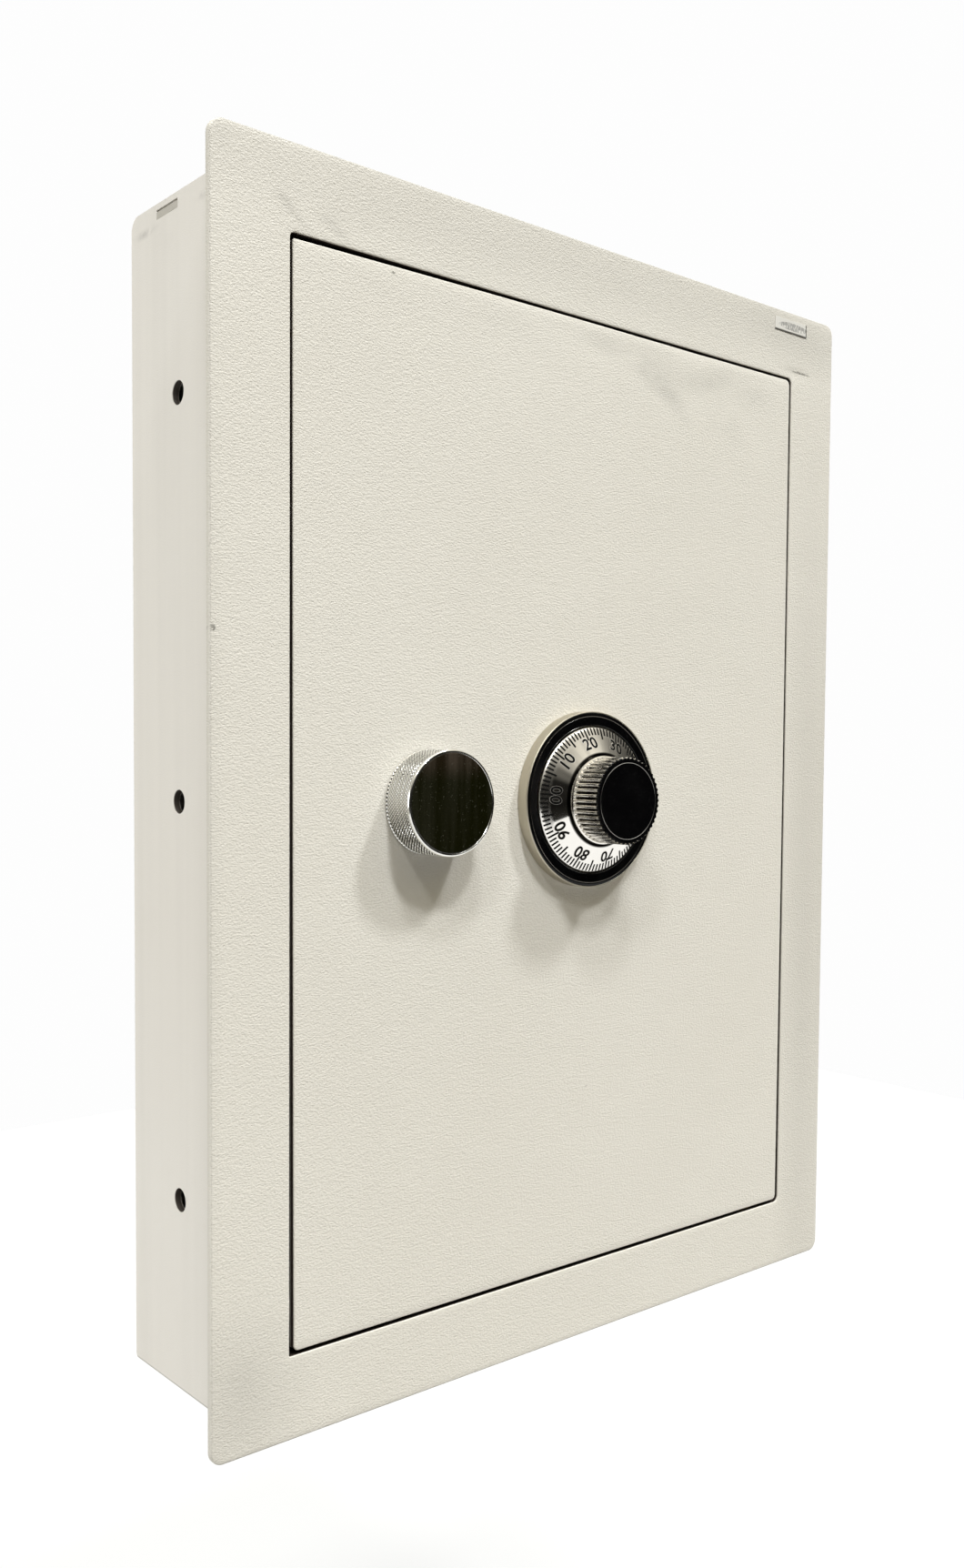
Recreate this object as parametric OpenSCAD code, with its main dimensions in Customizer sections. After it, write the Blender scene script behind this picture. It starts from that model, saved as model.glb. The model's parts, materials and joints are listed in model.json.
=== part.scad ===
// Wall safe with a flush flanged door, a combination dial and a round handle.
// Frame: X to the right seen from the front, Y into the wall, Z up.
// Origin: middle of the front flange, on its back face, where it meets the wall.

/* [Front flange] */
// Width of the flange that covers the edge of the wall cut-out
flange_w = 391; // [388:1:400]
// Height of the flange
flange_h = 534; // [530:1:550]
// Thickness of the flange plate
flange_t = 3; // [2:0.5:3]
// Radius of the flange's outer corners
flange_corner_r = 6; // [2:0.5:8]

/* [Door] */
// Width of the door opening in the flange
open_w = 319; // [316:1:320]
// Height of the door opening in the flange
open_h = 462.8; // [460:0.2:465]
// Gap on the door's hinge side
door_gap = 2.2; // [1.8:0.1:3]
// Gap on the door's left side
gap_left = 1.5; // [1:0.1:2.2]
// Gap above the door
gap_top = 1.8; // [1.2:0.1:3]
// Gap below the door
gap_bottom = 2.3; // [1.2:0.1:3]
// Thickness of the door plate
door_t = 6; // [5:0.5:6]
// Corner radius of the door plate and of its opening
door_corner_r = 3.5; // [2:0.5:6]
// Distance of the hinge pins from the door's right edge
hinge_inset = 20; // [18:1:24]
// Radius of the hinge pins
hinge_pin_r = 2.5; // [2:0.25:2.75]
// Depth of the hinge pins' axis behind the wall surface
hinge_y = 6; // [5.8:0.1:6.1]

/* [Body] */
// Width of the sheet steel body behind the flange
body_w = 367; // [364:1:370]
// Height of the body
body_h = 510; // [506:1:512]
// Depth of the body behind the flange
body_d = 90.5; // [90:0.5:140]
// Thickness of the body's sheets
wall_t = 3; // [2:0.5:3]
// Step from the side panels' ends to the top and bottom panels
panel_step = 3.5; // [1:0.5:4]
// Radius of the wall anchor holes in the side panels
anchor_r = 5.15; // [4:0.05:6.5]
// Depth of the anchor holes behind the wall surface
anchor_y = 47; // [40:0.5:60]
// Distance from the middle anchor hole to the outer ones
anchor_pitch = 172; // [150:0.5:190]
// Height of the shelves above and below the middle
shelf_z = 83; // [60:1:100]

/* [Handle] */
// Place of the handle left of the middle
handle_x = -88.8; // [-90:0.2:-86]
// Radius of the round handle
knob_r = 23.5; // [23:0.1:24]
// Height of the handle's front above the door
knob_h = 17.8; // [16:0.2:24]
// Turn of the handle from unlocked to locked, in degrees
handle_turn = 60; // [50:1:60]

/* [Dial] */
// Place of the dial right of the middle
dial_x = 5.6; // [0:0.2:8]
// Outer radius of the dial ring
ring_r = 42.75; // [41:0.25:46]
// Height of the dial ring above the door
ring_h = 6.8; // [6:0.2:9]
// Radius of the turning dial's rim
dial_r = 35.2; // [34:0.1:35.5]
// Height of the dial's hub above the door
hub_h = 13; // [11:0.2:14]
// Radius of the dial's grip
grip_r = 20.4; // [20:0.1:21]
// Height of the grip's front above the door
grip_h = 30.8; // [28:0.2:36]

/* [Boltwork] */
// Radius of the locking bolts
bolt_r = 8; // [6:0.5:8]
// Throw of the locking bolts
bolt_throw = 16; // [14:1:16]
// Distance of the outer locking bolts from the middle one
bolt_pitch = 140; // [125:1:140]

/* [Hidden] */
$fn = 96;

cut = 0.5;                 // how far a cutting shape runs past the face it cuts
run_gap = 0.06;            // radial clearance of a running fit
slide_gap = 0.25;          // clearance of a sliding or turning piece beside its guide

door_front = -flange_t;
door_back = door_front + door_t;
door_w = open_w - 2 * door_gap;
door_low = [-open_w / 2 + gap_left, -open_h / 2 + gap_bottom];
door_high = [open_w / 2 - door_gap, open_h / 2 - gap_top];
hinge_x = door_w / 2 - hinge_inset;

// Body sheets
body_x = body_w / 2;
inner_x = body_x - wall_t;
roof_z = body_h / 2 - panel_step;
inner_z = roof_z - wall_t;
inner_back = body_d - wall_t;
seat_d = 0.5;              // depth of the rebate in the flange's back that seats the body
seat_gap = 0.2;
tab_y = [47, 66];          // the roof's tabs show in the side panels between these depths
tab_gap = 0.1;
slot_room = 0.9;           // how much taller the slots are than the tabs, above them
back_low_r = 2;            // the side panels' lower back corner
shelf_t = 2;
shelf_front = 46;
shelf_lip = 8;
bracket_h = 12;
bracket_w = 10;
bracket_t = 1.5;
bracket_y = [50, 86];

// Frame bars behind the flange
jamb_t = 12;
jamb_d = 12;
jamb_x = open_w / 2;
jamb_z = open_h / 2;
stop_depth = 4.6;
stop_gap = 0.4;
stop_reach = 10;
stop_x = [-150, 105];

// Hinge
lug_w = 18;
lug_h = 20;
lug_back = jamb_d;
pin_reach = 10;            // how far a pin enters its jamb
washer_r = 6;

// Screws
screw_r = 2;
head_r = 3.6;
head_h = 2.4;
screw_bite = 3;            // how deep a screw sits in the door plate

// Dead bar on the hinge side
dead_z = 150;
dead_t = 6;
dead_foot = [hinge_x - 20, hinge_x - 2];
dead_reach = hinge_x + 29.7;
dead_y = jamb_d + 1;
dead_screw_z = [-120, -40, 40, 120];

// Boltwork
bolt_y = 21;
tip_x = -door_w / 2 + 2.5;
guide_x = [-152, -137];
guide_half = 20;
guide_back = 31;
guide_screw_z = 16.5;
bar_x = -120;              // left face of the bar's flange
bar_t = 4;
bar_front = 12.5;
web_y = [29.5, 33];
web_right = -84;
tab_z = [4, 30];            // the tab that the crank pin runs in
tab_edge = 5.5;            // metal left beside a slot or notch of the bar
bar_half = 165;
stub_r = 4;
nut_r = 7.5;
nut_t = 6;
tip_chamfer = 1.4;
post_r = 3;
post_z = 100;
post_x = bar_x + 10.5;
post_head_r = 5;
post_head_h = 2;
post_back = web_y[1] + 0.4;
bolt_z = [-bolt_pitch, 0, bolt_pitch];

// Handle and crank
crank_r = bolt_throw / (2 * sin(handle_turn / 2));
crank_rest = handle_turn / 2;
crank_end_r = 6;
crank_hub_r = 10;
crank_y = [22, 27];
crank_pin_r = 3;
pin_proud = 2;             // the crank pin stands this far past the bar
spindle_r = 6;
bush_r = 8;
bush_flange_r = 11;
bush_back = 8;
clip_y = [8.3, 9.8];
clip_r = 9;
knob_gap = 0.6;
knob_face_r = 21.9;
knob_face_t = 0.8;
knob_bore_h = 15;
set_screw_r = 2;
set_screw_h = 8;
pin_rest = [handle_x + crank_r * sin(crank_rest), crank_r * cos(crank_rest)];

// Dial
ring_bore_r = 36;
ring_face_r = 41.5;
ring_face_t = 0.6;
ring_floor = 2;
ring_screw_x = 22;
ring_screw_head = 1.2;
ring_screw_tip = door_back - 1;
rim_t = 1.6;
hub_r = 21.6;
hub_tube_r = 8;
dial_lift = 0.6;           // gap between the dial's tube and the ring's floor
bead_r = 21.3;
bead_h = 1.8;
cap_r = 18.9;
cap_t = 1.2;
stem_r = 3.8;
stem_top = 24;
tube_r = 6;

// Lock
hard_t = 3;
hard_half_w = 46;
hard_z = [-50, 70];
hard_screw_inset = 6;
case_front = door_back + hard_t;
case_back = 35;
case_half_w = 33;
case_z = [-30, 47];
shoulder_low = 28;         // the lock bolt's guides start at this height
case_t = 3;
cover_t = 3;
post_screw = [27, 24, 41];  // lock screw places: sideways, below and above the dial's axis
wheel_r = 20;
wheel_post_r = 6.5;
post_collar = 2.5;         // the wheel post stands this far past the last wheel
wheel_t = 3;
wheel_y = [11, 17, 23];
gate_w = 7;
gate_depth = 6;
cam_r = 19;
cam_y = [29.8, 33.8];
key_w = 2;
fence_half_w = 3;
fence_y = [10.5, 33];
fence_z = [21, 26];
lock_bolt_half_w = 11;
lock_bolt_y = [21, 33];
lock_bolt_top = 35.8;
tongue_half_w = 5;
tongue_y = [24, 33];
tongue_top = 48.5;
lever_screw_r = 1.5;
lever_screw_bite = 5;
arm_z = [49.6, 74];
notch_half_w = 5.5;
notch_top = 58.2;

// A flat shape drawn in X and Z, made solid from y0 to y1.
module slab(y0, y1) {
    translate([0, y1, 0]) rotate([90, 0, 0]) linear_extrude(y1 - y0) children();
}

// A flat shape drawn in Y and Z, made solid from x0 to x1.
module slab_x(x0, x1) {
    translate([x0, 0, 0]) rotate([90, 0, 90]) linear_extrude(x1 - x0) children();
}

// A box between two corners.
module block(low, high) {
    translate(low) cube(high - low);
}

// A round bar along Y.
module rod(x, z, y0, y1, r) {
    translate([x, 0, z]) slab(y0, y1) circle(r = r);
}

// A rectangle between two corners, drawn flat.
module area(low, high) {
    translate(low) square(high - low);
}

// A centred rectangle with round corners.
module round_rect(w, h, r) {
    square([w - 2 * r, h], center = true);
    square([w, h - 2 * r], center = true);
    for (sx = [-1, 1], sz = [-1, 1])
        translate([sx * (w / 2 - r), sz * (h / 2 - r)]) circle(r = r);
}

// A profile of radius and height above the door's face, turned about an axis along Y.
module turned(x, points) {
    translate([x, door_front, 0]) rotate([90, 0, 0]) rotate_extrude() polygon(points);
}

// A screw along Y whose head rests on seat, with its tip towards the door's face.
module screw(x, z, tip, seat, r = screw_r, hr = head_r, hh = head_h) {
    rod(x, z, tip, seat, r);
    rod(x, z, seat, seat + hh, hr);
}

// ---- Cabinet ----

module front_flange() {
    color("Ivory") difference() {
        slab(-flange_t, 0) difference() {
            round_rect(flange_w, flange_h, flange_corner_r);
            round_rect(open_w, open_h, door_corner_r);
        }
        slab(-seat_d, cut) square([body_w + 2 * seat_gap, body_h + 2 * seat_gap], center = true);
    }
}

module side_panel(side) {
    low = side > 0 ? inner_x : -body_x;
    color("Linen") slab_x(low, low + wall_t) difference() {
        union() {
            area([-seat_d, -body_h / 2], [body_d - flange_corner_r, body_h / 2]);
            area([-seat_d, -body_h / 2 + back_low_r], [body_d, body_h / 2 - flange_corner_r]);
            area([-seat_d, -body_h / 2], [body_d - back_low_r, 0]);
            translate([body_d - flange_corner_r, body_h / 2 - flange_corner_r]) circle(r = flange_corner_r);
            translate([body_d - back_low_r, -body_h / 2 + back_low_r]) circle(r = back_low_r);
        }
        for (k = [-1, 0, 1]) translate([anchor_y, k * anchor_pitch]) circle(r = anchor_r);
        area([tab_y[0] - tab_gap, inner_z - tab_gap], [tab_y[1] + tab_gap, roof_z + slot_room]);
    }
}

module end_panel(z) {
    color("Linen") {
        block([-inner_x, -seat_d, z], [inner_x, body_d, z + wall_t]);
        if (z > 0)
            for (x = [-body_x, inner_x]) block([x, tab_y[0], z], [x + wall_t, tab_y[1], z + wall_t]);
    }
}

module back_panel() {
    color("Linen") block([-inner_x, inner_back, -inner_z], [inner_x, body_d, inner_z]);
}

module jamb_bar(z) {
    color("LightGray") difference() {
        block([-jamb_x - jamb_t, -seat_d, z], [jamb_x + jamb_t, jamb_d, z + jamb_t]);
        translate([hinge_x, hinge_y, z - cut]) cylinder(h = jamb_t + 2 * cut, r = hinge_pin_r + run_gap);
    }
}

module jamb_post(x) {
    color("LightGray") block([x, -seat_d, -jamb_z], [x + jamb_t, jamb_d, jamb_z]);
}

module door_stops() {
    front = door_back + stop_gap;
    color("LightGray") for (z = [-jamb_z, jamb_z - stop_reach])
        block([stop_x[0], front, z], [stop_x[1], front + stop_depth, z + stop_reach]);
}

module shelf(z) {
    side_gap = 0.5;
    color("Gainsboro") {
        block([-inner_x + side_gap, shelf_front, z],
              [inner_x - side_gap, inner_back - side_gap, z + shelf_t]);
        block([-inner_x + side_gap, shelf_front, z - shelf_lip],
              [inner_x - side_gap, shelf_front + bracket_t, z]);
    }
}

module shelf_brackets() {
    color("Gainsboro") for (z = [-shelf_z, shelf_z], s = [-1, 1]) {
        wall = s > 0 ? inner_x - bracket_t : -inner_x;
        ledge = s > 0 ? inner_x - bracket_w : -inner_x;
        block([wall, bracket_y[0], z - bracket_h], [wall + bracket_t, bracket_y[1], z]);
        block([ledge, bracket_y[0], z - bracket_t], [ledge + bracket_w, bracket_y[1], z]);
    }
}

module label() {
    label_size = [27, 7];
    label_t = 0.3;
    from_right = 37.5;
    from_top = 7.8;
    color("White") translate([flange_w / 2 - from_right, 0, flange_h / 2 - from_top])
        slab(-flange_t - label_t, -flange_t) square(label_size, center = true);
}

// ---- Door ----

module door_plate() {
    blind = door_back - screw_bite;
    color("Ivory") difference() {
        slab(door_front, door_back) translate((door_low + door_high) / 2)
            round_rect(door_high[0] - door_low[0], door_high[1] - door_low[1], door_corner_r);
        rod(handle_x, 0, door_front - cut, door_back + cut, bush_r);
        rod(dial_x, 0, door_front - cut, door_back + cut, tube_r);
        for (s = [-1, 1]) rod(dial_x + s * ring_screw_x, 0, door_front - cut, ring_screw_tip, screw_r);
        for (z = bolt_z, s = [-1, 1])
            rod(guide_mid(), z + s * guide_screw_z, blind, door_back + cut, screw_r);
        for (z = dead_screw_z) rod(dead_screw_x(), z, blind, door_back + cut, screw_r);
        for (x = hard_screw_x(), z = hard_screw_z()) rod(x, z, blind, door_back + cut, screw_r);
        for (z = [-post_z, post_z]) rod(post_x, z, blind, door_back + cut, post_r);
    }
}

function guide_mid() = (guide_x[0] + guide_x[1]) / 2;
function dead_screw_x() = (dead_foot[0] + dead_foot[1]) / 2;
function hard_screw_x() = [for (s = [-1, 1]) dial_x + s * (hard_half_w - hard_screw_inset)];
function hard_screw_z() = [hard_z[0] + hard_screw_inset, hard_z[1] - hard_screw_inset];

module hinge_lugs() {
    color("Silver") for (low = [door_low[1], door_high[1] - lug_h]) difference() {
        block([hinge_x - lug_w / 2, door_back, low], [hinge_x + lug_w / 2, lug_back, low + lug_h]);
        translate([hinge_x, hinge_y, low - cut]) cylinder(h = lug_h + 2 * cut, r = hinge_pin_r);
    }
}

module hinge_pins() {
    lower = [-open_h / 2 - pin_reach, door_low[1] + lug_h];
    upper = [door_high[1] - lug_h, open_h / 2 + pin_reach];
    color("Silver") for (ends = [lower, upper])
        translate([hinge_x, hinge_y, ends[0]]) cylinder(h = ends[1] - ends[0], r = hinge_pin_r);
}

module thrust_washer() {
    washer_t = gap_bottom - run_gap;
    color("Goldenrod") translate([hinge_x, hinge_y, door_low[1] - washer_t]) difference() {
        cylinder(h = washer_t, r = washer_r);
        translate([0, 0, -cut]) cylinder(h = washer_t + 2 * cut, r = hinge_pin_r + run_gap);
    }
}

module dead_bar() {
    foot_back = door_back + dead_t;
    riser = dead_foot[1];
    color("DimGray") difference() {
        union() {
            block([dead_foot[0], door_back, -dead_z], [riser, foot_back, dead_z]);
            block([riser, door_back, -dead_z], [riser + dead_t, dead_y + dead_t, dead_z]);
            block([riser + dead_t, dead_y, -dead_z], [dead_reach, dead_y + dead_t, dead_z]);
        }
        for (z = dead_screw_z) rod(dead_screw_x(), z, door_back - cut, foot_back + cut, screw_r);
    }
}

module dead_bar_screws() {
    color("Silver") for (z = dead_screw_z)
        screw(dead_screw_x(), z, door_back - screw_bite, door_back + dead_t);
}

module hard_plate() {
    color("SlateGray") difference() {
        slab(door_back, case_front)
            area([dial_x - hard_half_w, hard_z[0]], [dial_x + hard_half_w, hard_z[1]]);
        rod(dial_x, 0, door_back - cut, case_front + cut, tube_r);
        for (x = hard_screw_x(), z = hard_screw_z()) rod(x, z, door_back - cut, case_front + cut, screw_r);
        for (p = lock_screw_places()) rod(p[0], p[1], door_back - cut, case_front + cut, screw_r);
    }
}

module hard_plate_screws() {
    color("Silver") for (x = hard_screw_x(), z = hard_screw_z())
        screw(x, z, door_back - screw_bite, case_front);
}

function lock_screw_places() =
    [for (s = [-1, 1], z = [-post_screw[1], post_screw[2]]) [dial_x + s * post_screw[0], z]];

module lock_case() {
    guide_half_w = lock_bolt_half_w + slide_gap;
    cavity_half_w = case_half_w - case_t;
    foot_half = 3;
    color("DarkKhaki") difference() {
        slab(case_front, case_back)
            area([dial_x - case_half_w, case_z[0]], [dial_x + case_half_w, case_z[1]]);
        difference() {
            slab(case_front + case_t, case_back + cut)
                area([dial_x - cavity_half_w, case_z[0] + case_t],
                     [dial_x + cavity_half_w, case_z[1] - case_t]);
            for (s = [-1, 1]) {
                shoulder = [guide_half_w, cavity_half_w + cut] * s;
                block([dial_x + min(shoulder), case_front, shoulder_low],
                      [dial_x + max(shoulder), case_back + 2 * cut, case_z[1]]);
                foot = dial_x + s * post_screw[0];
                block([foot - foot_half, case_front, case_z[0]],
                      [foot + foot_half, case_back + 2 * cut, -post_screw[1] + foot_half]);
            }
        }
        rod(dial_x, 0, case_front - cut, case_front + case_t + cut, tube_r);
        for (p = lock_screw_places()) rod(p[0], p[1], case_front - cut, case_back + cut, screw_r);
        block([dial_x - tongue_half_w - slide_gap, tongue_y[0] - slide_gap, lock_bolt_top],
              [dial_x + tongue_half_w + slide_gap, tongue_y[1] + slide_gap, case_z[1] + cut]);
    }
}

module lock_cover() {
    color("DarkKhaki") difference() {
        slab(case_back, case_back + cover_t)
            area([dial_x - case_half_w, case_z[0]], [dial_x + case_half_w, case_z[1]]);
        for (p = lock_screw_places()) rod(p[0], p[1], case_back - cut, case_back + cover_t + cut, screw_r);
    }
}

module lock_screws() {
    color("Silver") for (p = lock_screw_places())
        screw(p[0], p[1], door_back, case_back + cover_t);
}

module spindle_tube() {
    color("Goldenrod") difference() {
        rod(dial_x, 0, door_front - ring_floor, case_front + case_t, tube_r);
        rod(dial_x, 0, door_front - ring_floor - cut, case_front + case_t + cut, stem_r + run_gap);
    }
}

module wheel_post() {
    post_end = wheel_y[2] + wheel_t + post_collar;
    color("Goldenrod") difference() {
        rod(dial_x, 0, case_front + case_t, post_end, wheel_post_r);
        rod(dial_x, 0, case_front, post_end + cut, stem_r + run_gap);
    }
}

module bolt_guides() {
    color("Silver") for (z = bolt_z) difference() {
        block([guide_x[0], door_back, z - guide_half], [guide_x[1], guide_back, z + guide_half]);
        translate([guide_x[0] - cut, bolt_y, z]) rotate([0, 90, 0])
            cylinder(h = guide_x[1] - guide_x[0] + 2 * cut, r = bolt_r + run_gap);
        for (s = [-1, 1]) rod(guide_mid(), z + s * guide_screw_z, door_back - cut, guide_back + cut, screw_r);
    }
}

module guide_screws() {
    color("DarkGray") for (z = bolt_z, s = [-1, 1])
        screw(guide_mid(), z + s * guide_screw_z, door_back - screw_bite, guide_back);
}

module bar_guide_posts() {
    color("Silver") for (z = [-post_z, post_z])
        screw(post_x, z, door_back - screw_bite, post_back, post_r, post_head_r, post_head_h);
}

module handle_bushing() {
    bush_flange_t = 2;
    color("Goldenrod") difference() {
        union() {
            rod(handle_x, 0, door_front, bush_back, bush_r);
            rod(handle_x, 0, door_back, door_back + bush_flange_t, bush_flange_r);
        }
        rod(handle_x, 0, door_front - cut, bush_back + cut, spindle_r + run_gap);
    }
}

module dial_ring_body() {
    shelf_h = ring_h - ring_face_t;
    color("Tan") difference() {
        turned(dial_x, [[tube_r, 0], [ring_r, 0], [ring_r, ring_h], [ring_face_r, ring_h],
                        [ring_face_r, shelf_h], [ring_bore_r, shelf_h],
                        [ring_bore_r, ring_floor], [tube_r, ring_floor]]);
        for (s = [-1, 1])
            rod(dial_x + s * ring_screw_x, 0, door_front - ring_floor - cut, door_front + cut, screw_r);
    }
}

module dial_ring_face() {
    shelf_h = ring_h - ring_face_t;
    color("Black") turned(dial_x, [[ring_bore_r, shelf_h], [ring_face_r, shelf_h],
                                   [ring_face_r, ring_h], [ring_bore_r, ring_h]]);
}

module dial_ring_screws() {
    floor_y = door_front - ring_floor;
    color("Silver") for (s = [-1, 1]) {
        rod(dial_x + s * ring_screw_x, 0, floor_y, ring_screw_tip, screw_r);
        rod(dial_x + s * ring_screw_x, 0, floor_y - ring_screw_head, floor_y, head_r);
    }
}

// ---- Boltwork ----

module pin_slot() {
    slot_half_w = crank_pin_r + slide_gap;
    low = pin_rest[1] - slide_gap;
    high = crank_r + slide_gap;
    translate([pin_rest[0], 0]) {
        area([-slot_half_w, low], [slot_half_w, high]);
        for (z = [low, high]) translate([0, z]) circle(r = slot_half_w);
    }
}

module post_slot(z) {
    slot_half_w = post_r + slide_gap;
    translate([post_x, z]) {
        area([0, -slot_half_w], [bolt_throw, slot_half_w]);
        for (x = [0, bolt_throw]) translate([x, 0]) circle(r = slot_half_w);
    }
}

module bolt_bar() {
    web_left = bar_x + bar_t;
    tab_right = pin_rest[0] + crank_pin_r + slide_gap + tab_edge;
    notches = [dial_x, dial_x + bolt_throw];
    arm_right = notches[1] + notch_half_w + tab_edge;
    color("DarkGray") {
        slab(web_y[0], web_y[1]) difference() {
            union() {
                area([web_left, -bar_half], [web_right, bar_half]);
                area([web_left, tab_z[0]], [tab_right, tab_z[1]]);
                area([web_left, arm_z[0]], [arm_right, arm_z[1]]);
            }
            pin_slot();
            post_slot(-post_z);
            post_slot(post_z);
            for (x = notches) area([x - notch_half_w, arm_z[0] - cut], [x + notch_half_w, notch_top]);
        }
        slab_x(bar_x, web_left) difference() {
            area([bar_front, -bar_half], [web_y[1], bar_half]);
            for (z = bolt_z) translate([bolt_y, z]) circle(r = stub_r);
        }
    }
}

module locking_bolts() {
    color("Gainsboro") for (z = bolt_z) translate([0, bolt_y, z]) rotate([0, 90, 0]) {
        translate([0, 0, tip_x]) cylinder(h = tip_chamfer, r1 = bolt_r - tip_chamfer, r2 = bolt_r);
        translate([0, 0, tip_x + tip_chamfer]) cylinder(h = bar_x - tip_x - tip_chamfer, r = bolt_r);
        translate([0, 0, bar_x]) cylinder(h = bar_t + nut_t, r = stub_r);
    }
}

module bolt_nuts() {
    nut_x = bar_x + bar_t;
    color("Silver") for (z = bolt_z) slab_x(nut_x, nut_x + nut_t) translate([bolt_y, z]) difference() {
        circle(r = nut_r, $fn = 6);
        circle(r = stub_r);
    }
}

// ---- Handle ----

module knob_body() {
    face_h = knob_h - knob_face_t;
    color("Silver") difference() {
        turned(handle_x, [[0, knob_bore_h], [spindle_r, knob_bore_h], [spindle_r, knob_gap],
                          [knob_r, knob_gap], [knob_r, knob_h], [knob_face_r, knob_h],
                          [knob_face_r, face_h], [0, face_h]]);
        translate([handle_x, door_front - set_screw_h, -knob_r - cut])
            cylinder(h = knob_r - spindle_r + 2 * cut, r = set_screw_r);
    }
}

module knob_face() {
    color("DimGray") turned(handle_x, [[0, knob_h - knob_face_t], [knob_face_r, knob_h - knob_face_t],
                                       [knob_face_r, knob_h], [0, knob_h]]);
}

module knob_set_screw() {
    screw_l = 9;
    color("DarkGray") translate([handle_x, door_front - set_screw_h, -spindle_r - screw_l])
        cylinder(h = screw_l, r = set_screw_r);
}

module handle_spindle() {
    color("Silver") rod(handle_x, 0, door_front - knob_bore_h, crank_y[1], spindle_r);
}

module spindle_clip() {
    color("DarkGray") difference() {
        rod(handle_x, 0, clip_y[0], clip_y[1], clip_r);
        rod(handle_x, 0, clip_y[0] - cut, clip_y[1] + cut, spindle_r);
    }
}

module drive_crank() {
    color("DarkGray") slab(crank_y[0], crank_y[1]) difference() {
        union() {
            translate([handle_x, 0]) circle(r = crank_hub_r);
            translate([handle_x, 0]) rotate(-crank_rest) area([-crank_end_r, 0], [crank_end_r, crank_r]);
            translate(pin_rest) circle(r = crank_end_r);
        }
        translate([handle_x, 0]) circle(r = spindle_r);
        translate(pin_rest) circle(r = crank_pin_r);
    }
}

module crank_pin() {
    color("Silver") rod(pin_rest[0], pin_rest[1], crank_y[0], web_y[1] + pin_proud, crank_pin_r);
}

// ---- Dial ----

module dial_plate() {
    low = ring_floor + dial_lift;
    under = hub_h - rim_t;
    color("Gainsboro") turned(dial_x, [
        [stem_r, low], [hub_tube_r, low], [hub_tube_r, under], [hub_r - rim_t, under],
        [dial_r - rim_t, ring_h - rim_t], [dial_r, ring_h - rim_t], [dial_r, ring_h],
        [hub_r, hub_h], [stem_r, hub_h]]);
}

module dial_knob() {
    color("Silver") turned(dial_x, [
        [0, stem_top], [stem_r, stem_top], [stem_r, hub_h], [bead_r, hub_h], [bead_r, hub_h + bead_h],
        [grip_r, hub_h + bead_h], [grip_r, grip_h], [cap_r, grip_h], [cap_r, grip_h - cap_t],
        [0, grip_h - cap_t]]);
}

module dial_cap() {
    color("Black") turned(dial_x, [[0, grip_h - cap_t], [cap_r, grip_h - cap_t],
                                   [cap_r, grip_h], [0, grip_h]]);
}

// The flat key sits half in the spindle and half in the cam.
module key_shape() {
    translate([dial_x, -stem_r]) square([key_w, key_w], center = true);
}

module dial_spindle() {
    color("Goldenrod") difference() {
        rod(dial_x, 0, door_front - stem_top, cam_y[1], stem_r);
        slab(cam_y[0], cam_y[1] + cut) key_shape();
    }
}

module cam_key() {
    color("Silver") slab(cam_y[0], cam_y[1]) key_shape();
}

// A gate cut into a disc's rim at the top.
module gate(r) {
    area([dial_x - gate_w / 2, r - gate_depth], [dial_x + gate_w / 2, r + cut]);
}

module drive_cam() {
    color("Goldenrod") slab(cam_y[0], cam_y[1]) difference() {
        translate([dial_x, 0]) circle(r = cam_r);
        translate([dial_x, 0]) circle(r = stem_r);
        gate(cam_r);
        key_shape();
    }
}

module wheel(k) {
    color("Goldenrod") slab(wheel_y[k - 1], wheel_y[k - 1] + wheel_t) difference() {
        translate([dial_x, 0]) circle(r = wheel_r);
        translate([dial_x, 0]) circle(r = wheel_post_r + run_gap);
        gate(wheel_r);
    }
}

// ---- Lock bolt ----

module lock_bolt() {
    color("Goldenrod") difference() {
        block([dial_x - lock_bolt_half_w, lock_bolt_y[0], fence_z[1]],
              [dial_x + lock_bolt_half_w, lock_bolt_y[1], lock_bolt_top]);
        translate([dial_x, (lock_bolt_y[0] + lock_bolt_y[1]) / 2, fence_z[1] - cut])
            cylinder(h = lever_screw_bite + cut, r = lever_screw_r);
    }
}

module bolt_tongue() {
    color("Silver") block([dial_x - tongue_half_w, tongue_y[0], lock_bolt_top],
                          [dial_x + tongue_half_w, tongue_y[1], tongue_top]);
}

module fence_lever() {
    color("Silver") difference() {
        block([dial_x - fence_half_w, fence_y[0], fence_z[0]],
              [dial_x + fence_half_w, fence_y[1], fence_z[1]]);
        translate([dial_x, (lock_bolt_y[0] + lock_bolt_y[1]) / 2, fence_z[0] - cut])
            cylinder(h = fence_z[1] - fence_z[0] + 2 * cut, r = lever_screw_r);
    }
}

module lever_screw() {
    color("DarkGray") translate([dial_x, (lock_bolt_y[0] + lock_bolt_y[1]) / 2, fence_z[0]])
        cylinder(h = fence_z[1] - fence_z[0] + lever_screw_bite, r = lever_screw_r);
}

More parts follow.
